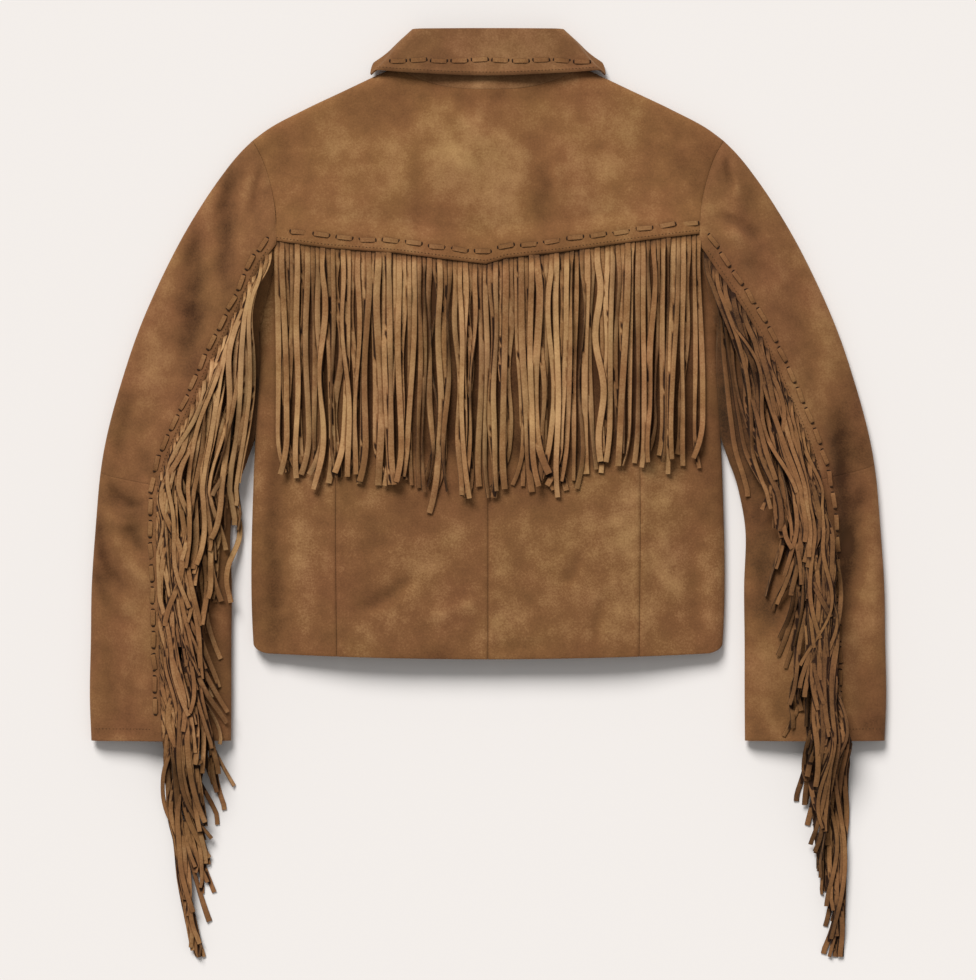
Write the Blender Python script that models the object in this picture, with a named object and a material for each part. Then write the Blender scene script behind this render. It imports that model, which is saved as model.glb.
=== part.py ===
"""Fringed buckskin jacket laid flat, back up: suede panels, collar and three fringes.

X is across the jacket, Y runs up from the hem to the collar, and Z is the height over the
surface that the jacket lies on. Sizes are in millimetres until a mesh is written.
"""

import bpy
import numpy as np

MM = 0.001
WALL = 1.5
HALF_SEAM = 0.15
ARMHOLE_SEAM = 0.45
ARMPIT_CLEAR = 0.3
COLLECTION = "fringed_buckskin_jacket"
SIDES = ((-1, "left"), (1, "right"))

# The rounded folds at the outline: height of the fold's own edge, of its crown, and its run.
# FOLD_STATIONS are the places of mesh lines along the cloth as it turns in from a fold.
FOLD_EDGE = 7.0
FOLD_CROWN = 14.0
FOLD_RUN = 13.0
FOLD_SPAN = 7.0
FOLD_STATIONS = [0.35, 4.0, 8.0, 12.5, 18.0]
BODY_RISE = 120.0
SLEEVE_RISE = 72.0

# The centre front lap, and how far the upper front lies over the lower one.
FRONT_OVERLAP = 14.0
FRONT_LAYER = 1.9
FRONT_LAYER_FADE = 16.0

# The lapped edges that hold the fringe strips.
LAP = 8.0
LAP_LIFT = 4.1
LAP_FLAT = 10.0
LAP_FADE = 24.0

NECK_HALF = 91.0
SHOULDER_POINT = (231.3, 347.4)
ARMPIT = (225.4, 157.3)
CUFF_Y = -241.6

# Half width and height along the jacket.
SHOULDER_FOLD = [(91.0, 420.0), (120.5, 406.2), (141.1, 396.4), (182.3, 376.8), (217.6, 357.6),
                 (231.3, 347.4), (249.9, 327.8), (278.3, 288.6), (301.8, 249.4), (321.4, 210.2)]
SIDE_FOLD = [(224.7, 157.3), (224.3, 131.8), (227.6, 73.0), (230.3, 14.2), (230.6, -142.6),
             (229.5, -158.0)]
ARMHOLE = [(157.3, 225.4), (165.0, 224.8), (176.0, 222.4), (190.0, 217.6), (205.0, 212.8),
           (222.0, 209.2), (247.5, 206.8),
           (272.9, 207.9), (292.5, 210.7), (311.2, 215.2), (331.7, 222.6), (347.4, 231.3)]
YOKE_SEAM = [(-212.0, 248.4), (-156.8, 240.6), (-89.2, 235.7), (-43.1, 229.8), (-2.0, 224.9),
             (17.6, 230.8), (72.5, 236.7), (132.3, 245.5), (178.4, 251.4), (212.0, 255.4)]
BACK_SEAM = [(260.0, 151.0), (120.0, 147.0), (0.0, 149.0), (-170.0, 148.0)]
BODY_LOFT = [(-170.0, 23.0), (-100.0, 25.0), (60.0, 28.0), (200.0, 30.0), (330.0, 28.0),
             (420.0, 24.0)]

# Shares of a panel's width or height at which its mesh lines lie.
SIDE_BACK_COLUMNS = [0.0, 0.045, 0.09, 0.145, 0.21, 0.40, 0.62, 0.83, 1.0]
CENTRE_BACK_COLUMNS = [0.0, 0.25, 0.5, 0.75, 1.0]
BACK_ROWS = [0.0, 0.05, 0.14, 0.25, 0.37, 0.48, 0.58, 0.67, 0.74, 0.79, 0.84, 0.89, 0.93, 0.965,
             1.0]
YOKE_HALF_COLUMNS = [0.0, 0.12, 0.22, 0.29, 0.345, 0.39, 0.41, 0.52, 0.65, 0.77, 0.88, 0.955, 1.0]
YOKE_ROWS = [0.0, 0.24, 0.48, 0.68, 0.81, 0.92, 1.0]
FRONT_COLUMNS = [1.0, 0.9, 0.8, 0.7, 0.6, 0.5, 0.43, 0.37, 0.31, 0.25, 0.2, 0.165, 0.13, 0.06, 0.0]
FRONT_ROWS = [0.0, 0.03, 0.07, 0.12, 0.17, 0.22, 0.27, 0.31, 0.335, 0.352, 0.37, 0.42, 0.52, 0.65,
              0.8, 0.93, 1.0]

# Rings of a sleeve from the armhole to the cuff: outer fold, inner fold, height in the middle,
# share of the armhole's bow that the ring keeps, and where the left and the right sleeve's
# fringed seam crosses it, as a share of the way from the outer to the inner fold.
RING_COLUMNS = ("out_x", "out_y", "in_x", "in_y", "loft", "bow", "left", "right")
SLEEVE_RINGS = [
    (231.3, 347.4, 225.4, 157.3, 31.0, 1.00, 0.536, 0.536),
    (244.0, 334.7, 227.2, 151.4, 31.0, 0.85, 0.545, 0.545),
    (257.7, 318.0, 228.6, 144.6, 31.0, 0.65, 0.550, 0.550),
    (278.3, 288.6, 230.2, 133.8, 30.5, 0.42, 0.553, 0.553),
    (301.8, 249.4, 232.0, 119.1, 30.0, 0.22, 0.545, 0.545),
    (324.4, 204.3, 234.2, 100.5, 29.0, 0.10, 0.530, 0.530),
    (344.0, 158.3, 236.4, 79.9, 28.0, 0.03, 0.510, 0.508),
    (360.6, 108.3, 238.6, 56.4, 27.0, 0.00, 0.485, 0.480),
    (373.4, 61.3, 242.6, 32.8, 26.0, 0.00, 0.455, 0.440),
    (380.7, 20.1, 246.4, 6.4, 25.0, 0.00, 0.445, 0.405),
    (385.1, -29.9, 252.8, -36.8, 24.0, 0.00, 0.455, 0.370),
    (389.1, -88.7, 251.4, -90.7, 23.0, 0.00, 0.475, 0.356),
    (390.0, -142.6, 251.9, -143.6, 22.0, 0.00, 0.490, 0.360),
    (391.0, -196.5, 251.9, -196.5, 21.0, 0.00, 0.502, 0.364),
    (389.5, CUFF_Y, 252.2, CUFF_Y, 20.0, 0.00, 0.512, 0.362),
]
ELBOW_RING = 9.0
CUFF_RING = 14.0
FRONT_SEAM_TURN = 1.62
BODY_BLEND_RINGS = 3.5
UPPER_SLEEVE_RINGS = [0.02, 0.5, 1.0, 1.6, 2.3, 3.0, 4.0, 5.0, 6.0, 7.0, 8.0, 8.996]
LOWER_SLEEVE_RINGS = [9.004, 10.0, 11.0, 12.0, 13.0, 14.0]
TOP_SLEEVE_TURNS = [0.24, 0.17, 0.11, 0.055, 0.0, -0.055, -0.11, -0.18, -0.26]
UNDER_SLEEVE_TURNS = [1.5, 1.36, 1.24, 1.16, 1.08, 1.0, 0.92, 0.84, 0.76]

# The collar: half widths at the neck, the roll and the fall's corners, and the fall's lower edge
# at its corners, in the middle of the back and on the side underneath.
COLLAR_ROLL_Y = 456.5
STAND_CLEAR = 4.0
STAND_TOP_HALF = 71.0
STAND_LOW = 2.2
FALL_ROLL_HALF = 74.5
FALL_EDGE_HALF = 114.6
FALL_CORNER_Y = 409.6
FALL_MIDDLE_RISE = 5.5
FALL_UNDER_Y = 426.0
FALL_EDGE = 9.0
FALL_CROWN = 9.0
FALL_LOFT = 11.0
COLLAR_TURNS = [-0.46, -0.36, -0.26, -0.17, -0.10, -0.045, 0.0, 0.045, 0.10, 0.17, 0.26, 0.38, 0.5]
STAND_ROWS = [0.0, 0.33, 0.66, 1.0]
FALL_ROWS = [0.0, 0.25, 0.5, 0.75, 1.0]

YOKE_STRANDS = 72
YOKE_STRAND_HALF_SPREAD = 203.0
YOKE_STRAND_LENGTH = 232.0
SLEEVE_STRANDS = 52
SLEEVE_STRAND_LENGTH = 232.0
STRAND_WIDTH = 4.5
STRAND_THICK = 1.0
STRIP_DEPTH = 6.5
STRIP_CLEAR = 0.5
STRIP_COLUMNS = 25
ROOT_BELOW_SEAM = 0.6
STRAND_CLEAR = 0.9
YOKE_STRAND_SHARES = (0.06, 0.36, 0.68, 1.0)
FIRST_STRAND_RING = 0.75
LAST_STRAND_RING = 13.75
PILE_LAYERS = 3
LAYER_PITCH = 1.4
TAB_LENGTH = 8.0
TIP_CLEAR = 0.5
TAIL_RUN = 95.0
PILE_CELL = 3.0

# Heights along the jacket at which every strand of a pile has a section, and how far outwards
# the left and the right pile lie there.
STATIONS = [300.0, 235.0, 180.0, 125.0, 70.0, 20.0, -30.0, -80.0, -135.0, -190.0, -238.0, -268.0,
            -300.0, -345.0, -400.0, -457.0]
PILE_DRIFT = {
    "left": [(400.0, -26.0), (250.0, -8.0), (60.0, 14.0), (30.0, 15.5), (10.0, 13.0),
             (-20.0, 6.5), (-80.0, -8.0), (-150.0, -26.0), (-240.0, -49.5), (-275.0, -52.0),
             (-330.0, -54.0), (-400.0, -60.0), (-460.0, -68.0)],
    "right": [(400.0, -26.0), (250.0, -8.0), (60.0, 14.0), (30.0, 15.5), (10.0, 15.5),
              (-20.0, 14.0), (-60.0, 9.0), (-100.0, 1.5), (-150.0, -8.5), (-200.0, -19.0),
              (-240.0, -28.0), (-275.0, -29.0), (-330.0, -24.0), (-380.0, -19.0), (-460.0, -15.0)],
}

SUEDES = {
    "suede_yoke": (0.290, 0.148, 0.060),
    "suede_back": (0.245, 0.115, 0.042),
    "suede_front": (0.230, 0.107, 0.040),
    "suede_sleeve": (0.220, 0.100, 0.036),
    "suede_under_sleeve": (0.205, 0.092, 0.033),
    "suede_collar": (0.235, 0.122, 0.050),
    "suede_fringe": (0.260, 0.125, 0.048),
}


# ---------------------------------------------------------------- curves and heights

def ease(t):
    t = np.clip(t, 0.0, 1.0)
    return t * t * (3.0 - 2.0 * t)


def quarter_round(d):
    """Height share of a rounded fold at distance d in from its edge."""
    t = np.clip(d / FOLD_RUN, 0.0, 1.0)
    return np.sqrt(1.0 - (1.0 - t) ** 2)


def fold_step(q):
    """Distance in from a fold for the signed coordinate q, whose sign tells the layer."""
    q = np.abs(q)
    return np.where(q < 2 * FOLD_SPAN, q * q / (4 * FOLD_SPAN), q - FOLD_SPAN)


def spline(rows):
    """A smooth curve through (place, value) rows, straight beyond its ends."""
    rows = sorted(rows)
    places = np.array([row[0] for row in rows])
    values = np.array([row[1] for row in rows])
    slopes = np.gradient(values, places)

    def at(x):
        x = np.asarray(x, float)
        i = np.clip(np.searchsorted(places, x) - 1, 0, len(places) - 2)
        width = places[i + 1] - places[i]
        t = np.clip((x - places[i]) / width, 0.0, 1.0)
        inside = ((1 + 2 * t) * (1 - t) ** 2 * values[i] + t * (1 - t) ** 2 * width * slopes[i]
                  + t * t * (3 - 2 * t) * values[i + 1] + t * t * (t - 1) * width * slopes[i + 1])
        before = np.minimum(x - places[0], 0.0) * slopes[0]
        after = np.maximum(x - places[-1], 0.0) * slopes[-1]
        return inside + before + after

    return at


def distance_to(line, x, y):
    nearest = np.full(np.shape(x), 1e6)
    for (ax, ay), (bx, by) in zip(line[:-1], line[1:]):
        run, rise = bx - ax, by - ay
        t = np.clip(((x - ax) * run + (y - ay) * rise) / (run * run + rise * rise), 0.0, 1.0)
        nearest = np.minimum(nearest, np.hypot(x - ax - t * run, y - ay - t * rise))
    return nearest


armhole_x = spline(ARMHOLE)
side_fold_x = spline([(y, x) for x, y in SIDE_FOLD])
back_seam_x = spline(BACK_SEAM)
body_loft = spline(BODY_LOFT)
shoulder_y = spline(SHOULDER_FOLD[:6])
ring_curve = {name: spline([(k, row[i]) for k, row in enumerate(SLEEVE_RINGS)])
              for i, name in enumerate(RING_COLUMNS)}


def yoke_seam_y(x):
    return np.interp(x, [row[0] for row in YOKE_SEAM], [row[1] for row in YOKE_SEAM])


def hem_y(x):
    half = np.abs(x)
    corner = np.clip((half - 220.0) / 10.0, 0.0, 1.0)
    return -161.2 + 6.0 * (half / 228.0) ** 2 + 8.0 * corner ** 2


def back_neck_y(x):
    return 396.5 + 22.5 * (np.abs(x) / NECK_HALF) ** 2.5


def front_neck_y(x):
    return 372.0 + 47.0 * (np.abs(x) / NECK_HALF) ** 2.2


def body_fold_distance(x, y):
    half = np.abs(x)
    return np.minimum(distance_to(SHOULDER_FOLD, half, y), distance_to(SIDE_FOLD, half, y))


def upper_height(x, y):
    """Height of the body's upper layer over the surface."""
    d = body_fold_distance(x, y)
    crown = (FOLD_CROWN - FOLD_EDGE) * quarter_round(d)
    return FOLD_EDGE + crown + (body_loft(y) - FOLD_CROWN) * ease(d / BODY_RISE)


def lower_height(x, y):
    """Height of the body's lower layer, which rests on the surface."""
    return FOLD_EDGE * (1.0 - quarter_round(body_fold_distance(x, y)))


def lap_lift(d):
    """How far a lapped edge stands off at distance d from the edge."""
    return LAP_LIFT * (1.0 - ease((d - LAP_FLAT) / LAP_FADE))


# ---------------------------------------------------------------- panels of cloth

def grid(us, vs):
    return np.meshgrid(np.asarray(us, float), np.asarray(vs, float), indexing="ij")


def surface_normals(place, u, v):
    step = 0.02
    du = place(u + step, v) - place(u - step, v)
    dv = place(u, v + step) - place(u, v - step)
    normal = np.cross(du, dv)
    return normal / np.linalg.norm(normal, axis=-1, keepdims=True)


def cloth_panel(name, material, place, us, vs, middle=10.0, wall=WALL):
    """One closed wall: the outer face is place(u, v) and the inner face lies a wall below it."""
    u, v = grid(us, vs)
    outer = place(u, v)
    normal = surface_normals(place, u, v)
    if np.sum(normal[..., 2] * (outer[..., 2] - middle)) < 0:
        normal = -normal
    inner = outer - wall * normal
    rows, columns = u.shape
    points = np.concatenate([outer.reshape(-1, 3), inner.reshape(-1, 3)])
    under = rows * columns
    faces = []
    for i in range(rows - 1):
        for j in range(columns - 1):
            a, b = i * columns + j, (i + 1) * columns + j
            faces.append((a, b, b + 1, a + 1))
            faces.append((under + a, under + a + 1, under + b + 1, under + b))
    rim = [j for j in range(columns)]
    rim += [i * columns + columns - 1 for i in range(1, rows)]
    rim += [(rows - 1) * columns + j for j in range(columns - 2, -1, -1)]
    rim += [i * columns for i in range(rows - 2, 0, -1)]
    for a, b in zip(rim, rim[1:] + rim[:1]):
        faces.append((a, b, b + under, a + under))
    return solid(name, material, points, faces)


def solid(name, material, points, faces):
    mesh = bpy.data.meshes.new(name)
    mesh.from_pydata([tuple(p) for p in np.asarray(points) * MM], [], faces)
    if mesh_volume(mesh) < 0:
        mesh.flip_normals()
    mesh.materials.append(material)
    made = bpy.data.objects.new(name, mesh)
    parts.objects.link(made)
    return made


def mesh_volume(mesh):
    """Six times the volume inside a closed mesh, negative when it is inside out."""
    mesh.calc_loop_triangles()
    total = 0.0
    for triangle in mesh.loop_triangles:
        a, b, c = (mesh.vertices[i].co for i in triangle.vertices)
        total += a.dot(b.cross(c))
    return total


def stack(x, y, z):
    return np.stack(np.broadcast_arrays(x, y, z), axis=-1)


# ---------------------------------------------------------------- body panels

def side_edge(y):
    """Half width of a panel's edge: the side fold, and a gap in from the armhole above it."""
    gap = ARMHOLE_SEAM + ARMPIT_CLEAR * (1 - ease((y - ARMPIT[1]) / 14.0))
    return np.where(y < ARMPIT[1], side_fold_x(y), armhole_x(np.minimum(y, SHOULDER_POINT[1])) - gap)


def shoulder_edge(x, neck_y):
    """Y of a panel's top edge: the shoulder fold, and just below the neck seam between them."""
    in_neck = np.abs(x) < NECK_HALF - 0.5
    return np.where(in_neck, neck_y(x) - HALF_SEAM, shoulder_y(np.abs(x)))


def fold_then(shares):
    """The path in from a fold and the share of the panel beyond it, by the number of the line."""
    last = len(FOLD_STATIONS) - 1
    path_of = spline(list(enumerate(FOLD_STATIONS)))
    share_of = spline([(last + k, share) for k, share in enumerate(shares)])

    def at(line):
        return path_of(np.minimum(line, last)), np.where(line > last, share_of(line), shares[0])

    return at, range(last + len(shares))


def side_back(side):
    """From the side fold and the armhole (0) to the curved back seam (1)."""
    def place(u, v):
        x = side * SIDE_FOLD[0][0] * (1.0 - u / 3.0)
        for _ in range(6):
            y = hem_y(x) * (1 - v) + (yoke_seam_y(x) + LAP) * v
            edge = side_edge(y)
            width = edge - back_seam_x(y) - HALF_SEAM
            path = FOLD_STATIONS[0] + u * (width + FOLD_SPAN - FOLD_STATIONS[0])
            x = side * (edge - fold_step(path))
        return stack(x, y, upper_height(x, y))

    return place


def centre_back(side):
    """From the centre back seam (0) to the curved back seam (1)."""
    def place(u, v):
        x = side * u * back_seam_x(0.0)
        for _ in range(4):
            y = hem_y(x) * (1 - v) + (yoke_seam_y(x) + LAP) * v
            x = side * (HALF_SEAM + u * (back_seam_x(y) - 2 * HALF_SEAM))
        return stack(x, y, upper_height(x, y))

    return place


def back_yoke():
    """From armhole to armhole, and from the shoulder folds to the lapped yoke seam."""
    rows_of, rows = fold_then(YOKE_ROWS)

    def place(u, v):
        x = u * SHOULDER_POINT[0]
        path, share = rows_of(v)
        for _ in range(4):
            y_top = shoulder_edge(x, back_neck_y) - fold_step(path)
            y = y_top + (yoke_seam_y(x) - y_top) * share
            half = np.minimum(armhole_x(np.minimum(y, SHOULDER_POINT[1])), SHOULDER_POINT[0])
            x = u * (half - ARMHOLE_SEAM)
        return stack(x, y, upper_height(x, y) + lap_lift(y - yoke_seam_y(x)))

    columns = [-u for u in YOKE_HALF_COLUMNS[:0:-1]] + YOKE_HALF_COLUMNS
    cloth_panel("back_yoke", suede["suede_yoke"], place, columns, rows)


def front_panel(side, word):
    """The lower layer from the centre front to the side fold, the armhole and the shoulder."""
    columns_of, columns = fold_then(FRONT_COLUMNS)
    rows_of, rows = fold_then(FRONT_ROWS)
    centre = -side * FRONT_OVERLAP

    def place(u, v):
        x = side * SIDE_FOLD[0][0] * (1.0 - u / len(columns))
        path_in, share_in = columns_of(u)
        path_down, share_down = rows_of(v)
        for _ in range(6):
            y_top = shoulder_edge(x, front_neck_y) - fold_step(path_down)
            y = y_top + (hem_y(x) - y_top) * share_down
            x = centre + (side * (side_edge(y) - fold_step(path_in)) - centre) * share_in
        low = lower_height(x, y)
        if side > 0:
            low = low + FRONT_LAYER * (1.0 - ease((x - FRONT_OVERLAP - 2.0) / FRONT_LAYER_FADE))
        return stack(x, y, low)

    cloth_panel(f"front_{word}", suede["suede_front"], place, columns, rows, middle=60.0)


def body():
    for side, word in SIDES:
        cloth_panel(f"side_back_{word}", suede["suede_back"], side_back(side),
                    SIDE_BACK_COLUMNS, BACK_ROWS)
        cloth_panel(f"centre_back_{word}", suede["suede_back"], centre_back(side),
                    CENTRE_BACK_COLUMNS, BACK_ROWS)
        front_panel(side, word)
    back_yoke()


# ---------------------------------------------------------------- sleeves

def sleeve_plan(k, t):
    """Half width and height of ring k at the share t from its outer to its inner fold."""
    x = ring_curve["out_x"](k) * (1 - t) + ring_curve["in_x"](k) * t
    y = ring_curve["out_y"](k) * (1 - t) + ring_curve["in_y"](k) * t
    seam_y = SHOULDER_POINT[1] * (1 - t) + ARMPIT[1] * t
    chord = SHOULDER_POINT[0] * (1 - t) + ARMPIT[0] * t
    return x + (armhole_x(seam_y) - chord) * ring_curve["bow"](k), y


def ring_width(k):
    return np.hypot(ring_curve["out_x"](k) - ring_curve["in_x"](k),
                    ring_curve["out_y"](k) - ring_curve["in_y"](k))


def sleeve_place(side, k, turn):
    """Sleeve surface: turn 0 is the outer fold, 1 the inner fold, and 0 to 1 the upper layer."""
    t = (1 - np.cos(np.pi * turn)) / 2
    upper = np.sin(np.pi * turn) >= 0
    x, y = sleeve_plan(k, t)
    out, into = ring_width(k) * t, ring_width(k) * (1 - t)
    edge = quarter_round(np.minimum(out, into))
    rise = (ring_curve["loft"](k) - FOLD_CROWN) * ease(out / SLEEVE_RISE) * ease(into / SLEEVE_RISE)
    own_up = FOLD_EDGE + (FOLD_CROWN - FOLD_EDGE) * edge + rise
    own_low = FOLD_EDGE * (1 - edge)
    blend = ease(k / BODY_BLEND_RINGS)
    up = upper_height(x, y) * (1 - blend) + own_up * blend
    low = lower_height(x, y) * (1 - blend) + own_low * blend
    return stack(side * x, y, np.where(upper, up, low))


def seam_share(side, k):
    return ring_curve["left" if side < 0 else "right"](k)


def seam_turn(side, k, beyond=0.0):
    """The fringed seam's turn at ring k, moved by so many millimetres towards the inner fold."""
    share = seam_share(side, k) + beyond / ring_width(k)
    return np.arccos(1 - 2 * np.clip(share, 0.001, 0.999)) / np.pi


def top_sleeve(side):
    """From the fringed seam over the outer fold to the front seam underneath."""
    def place(k, j):
        flat_edge = seam_turn(side, k, -LAP_FLAT - 1.0)
        past_edge = seam_turn(side, k, -LAP_FADE)
        halfway = past_edge * 0.45 + TOP_SLEEVE_TURNS[0] * 0.55
        stops = [seam_turn(side, k), flat_edge, past_edge, halfway]
        stops += TOP_SLEEVE_TURNS + [FRONT_SEAM_TURN - 2.0]
        turn = between(stops, k, j)
        from_seam = (seam_share(side, k) - (1 - np.cos(np.pi * turn)) / 2) * ring_width(k)
        lift = np.where(turn > 0.05, lap_lift(from_seam), 0.0)
        return sleeve_place(side, k, turn) + stack(0.0 * lift, 0.0 * lift, lift)

    return place, range(5 + len(TOP_SLEEVE_TURNS))


def between(stops, k, j):
    """The stop at the fractional place j, each a number or one for every ring in k."""
    rows = np.stack([stop + np.zeros_like(k) for stop in stops], axis=0)
    i = np.clip(np.floor(j).astype(int), 0, len(stops) - 2)
    low = np.take_along_axis(rows, i[None], axis=0)[0]
    high = np.take_along_axis(rows, i[None] + 1, axis=0)[0]
    return low * (1 - (j - i)) + high * (j - i)


def under_sleeve(side):
    """From the front seam underneath round the inner fold to under the lapped seam."""
    def place(k, j):
        end = seam_turn(side, k, -LAP)
        stops = [FRONT_SEAM_TURN - 0.003] + UNDER_SLEEVE_TURNS
        stops += [(end + UNDER_SLEEVE_TURNS[-1]) / 2, seam_turn(side, k, 4.0), end]
        return sleeve_place(side, k, between(stops, k, j))

    return place, range(4 + len(UNDER_SLEEVE_TURNS))


def sleeves():
    whole = UPPER_SLEEVE_RINGS[:-1] + [ELBOW_RING] + LOWER_SLEEVE_RINGS[1:]
    for side, word in SIDES:
        top, top_columns = top_sleeve(side)
        under, under_columns = under_sleeve(side)
        cloth_panel(f"top_sleeve_upper_{word}", suede["suede_sleeve"], top, UPPER_SLEEVE_RINGS,
                    top_columns)
        cloth_panel(f"top_sleeve_lower_{word}", suede["suede_sleeve"], top, LOWER_SLEEVE_RINGS,
                    top_columns)
        cloth_panel(f"under_sleeve_{word}", suede["suede_under_sleeve"], under, whole,
                    under_columns)


# ---------------------------------------------------------------- collar

def collar_ring(half, turn):
    """X across a flattened ring, and whether the point is on its upper layer."""
    return -half * np.cos(np.pi * turn), np.sin(np.pi * turn) >= 0


def stand_place(v, turn):
    """From the neck seam (0) to just under the roll (1)."""
    half = (NECK_HALF - 0.2) * (1 - v) + STAND_TOP_HALF * v
    x, upper = collar_ring(half, turn)
    share = np.clip(np.abs(x) / half, 0, 1) * NECK_HALF
    y_back = back_neck_y(share) + ARMHOLE_SEAM
    y_front = front_neck_y(share) + 2 * ARMHOLE_SEAM
    y = np.where(upper, y_back, y_front) * (1 - v) + (COLLAR_ROLL_Y - STAND_CLEAR) * v
    d = half - np.abs(x)
    own_up = FOLD_EDGE + 7.0 * quarter_round(d) + 4.0 * ease(d / 80.0)
    own_low = STAND_LOW + (FOLD_EDGE - STAND_LOW) * (1 - quarter_round(d))
    blend = ease(v * 1.6)
    up = upper_height(x, y) * (1 - blend) + own_up * blend
    low = lower_height(x, y) * (1 - blend) + own_low * blend
    return stack(x, y, np.where(upper, up, low))


def fall_place(v, turn):
    """From the roll (0) to the outer edge (1), outside the stand."""
    half = FALL_ROLL_HALF * (1 - v) + FALL_EDGE_HALF * v - 1.5 * np.sin(np.pi * np.clip(v, 0, 1))
    x, upper = collar_ring(half, turn)
    low_back = FALL_CORNER_Y + FALL_MIDDLE_RISE * ease(2.5 * (1.0 - np.abs(x) / half))
    turned = ease(0.5 + turn / 0.16) * ease(0.5 + (1 - turn) / 0.16)
    low_y = FALL_UNDER_Y + (low_back - FALL_UNDER_Y) * turned
    y = COLLAR_ROLL_Y * (1 - v) + low_y * v
    d = half - np.abs(x)
    over_stand = FALL_LOFT * ease(d / 75.0) * v + 2.5 * ease(d / 60.0) + 1.0 * v
    up = FALL_EDGE + FALL_CROWN * quarter_round(d) + over_stand
    low = FALL_EDGE * (1 - quarter_round(d))
    return stack(x, y, np.where(upper, up, low))


def collar():
    turns = COLLAR_TURNS + [1 - t for t in COLLAR_TURNS[-2::-1]]
    cloth_panel("collar_stand", suede["suede_collar"], stand_place, STAND_ROWS, turns)
    cloth_panel("collar_fall", suede["suede_collar"], fall_place, FALL_ROWS, turns)


# ---------------------------------------------------------------- fringe

def comb(name, upper_edge, roots, strands):
    """A strip with strands cut from it, as one closed solid.

    upper_edge and roots are the strip's two long edges, as (low, high) point pairs. A strand is
    a list of sections, each (left low, left high, right low, right high), after its root.
    """
    points, faces = [], []

    def add(pair):
        points.extend(pair)
        return len(points) - 2, len(points) - 1

    top = [add(pair) for pair in upper_edge]
    cut = [add(pair) for pair in roots]
    i = j = 0
    while i < len(top) - 1 or j < len(cut) - 1:
        next_top = (i + 1) / (len(top) - 1) if i < len(top) - 1 else 2.0
        next_cut = (j + 1) / (len(cut) - 1) if j < len(cut) - 1 else 2.0
        if next_top <= next_cut:
            corner = (top[i], cut[j], top[i + 1])
            i += 1
        else:
            corner = (top[i], cut[j], cut[j + 1])
            j += 1
        faces.append(tuple(c[1] for c in corner))
        faces.append(tuple(c[0] for c in reversed(corner)))
    for a, b in zip(top[:-1], top[1:]):
        faces.append((a[0], a[1], b[1], b[0]))
    faces.append((top[0][1], top[0][0], cut[0][0], cut[0][1]))
    faces.append((top[-1][0], top[-1][1], cut[-1][1], cut[-1][0]))
    for n, sections in enumerate(strands):
        left, right = cut[n], cut[n + 1]
        for a_low, a_high, b_low, b_high in sections:
            new_left, new_right = add((a_low, a_high)), add((b_low, b_high))
            faces.append((left[1], new_left[1], new_right[1], right[1]))
            faces.append((left[0], right[0], new_right[0], new_left[0]))
            faces.append((left[0], new_left[0], new_left[1], left[1]))
            faces.append((right[0], right[1], new_right[1], new_right[0]))
            left, right = new_left, new_right
        faces.append((left[0], right[0], right[1], left[1]))
    return solid(name, suede["suede_fringe"], points, faces)


def pair_at(x, y, base):
    return (x, y, base), (x, y, base + STRAND_THICK)


def waver(i, depth, period, phase=0.0):
    """A small repeatable sideways wander along the row of strands."""
    return depth * np.sin(2 * np.pi * i / period + phase)


def yoke_fringe():
    spread = YOKE_STRAND_HALF_SPREAD
    cut_x = np.linspace(-spread, spread, YOKE_STRANDS + 1)
    strip_x = np.linspace(-spread, spread, STRIP_COLUMNS)

    def base(x, y, clear):
        return float(upper_height(np.array(x), np.array(y))) + clear

    def edge(xs, above):
        ys = yoke_seam_y(xs) + above
        return [pair_at(x, y, base(x, y, STRIP_CLEAR)) for x, y in zip(xs, ys)]

    strands = []
    for i in range(YOKE_STRANDS):
        middle = (cut_x[i] + cut_x[i + 1]) / 2
        root_y = float(yoke_seam_y(middle)) + ROOT_BELOW_SEAM
        length = YOKE_STRAND_LENGTH + waver(i, 5.0, 7.3) + waver(i, 4.0, 2.6, 1.0)
        sections = []
        for share in YOKE_STRAND_SHARES:
            y = root_y - length * share
            lean = waver(i, 1.1, 19.0, 0.7) * np.sin(np.pi * share) + 0.4 * waver(i, 1.0, 3.1)
            x = middle + lean * share
            left, right = x - STRAND_WIDTH / 2, x + STRAND_WIDTH / 2
            a = pair_at(left, y, base(left, y, STRAND_CLEAR))
            b = pair_at(right, y, base(right, y, STRAND_CLEAR))
            sections.append((a[0], a[1], b[0], b[1]))
        strands.append(sections)
    comb("yoke_fringe", edge(strip_x, STRIP_DEPTH), edge(cut_x, ROOT_BELOW_SEAM), strands)


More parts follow.
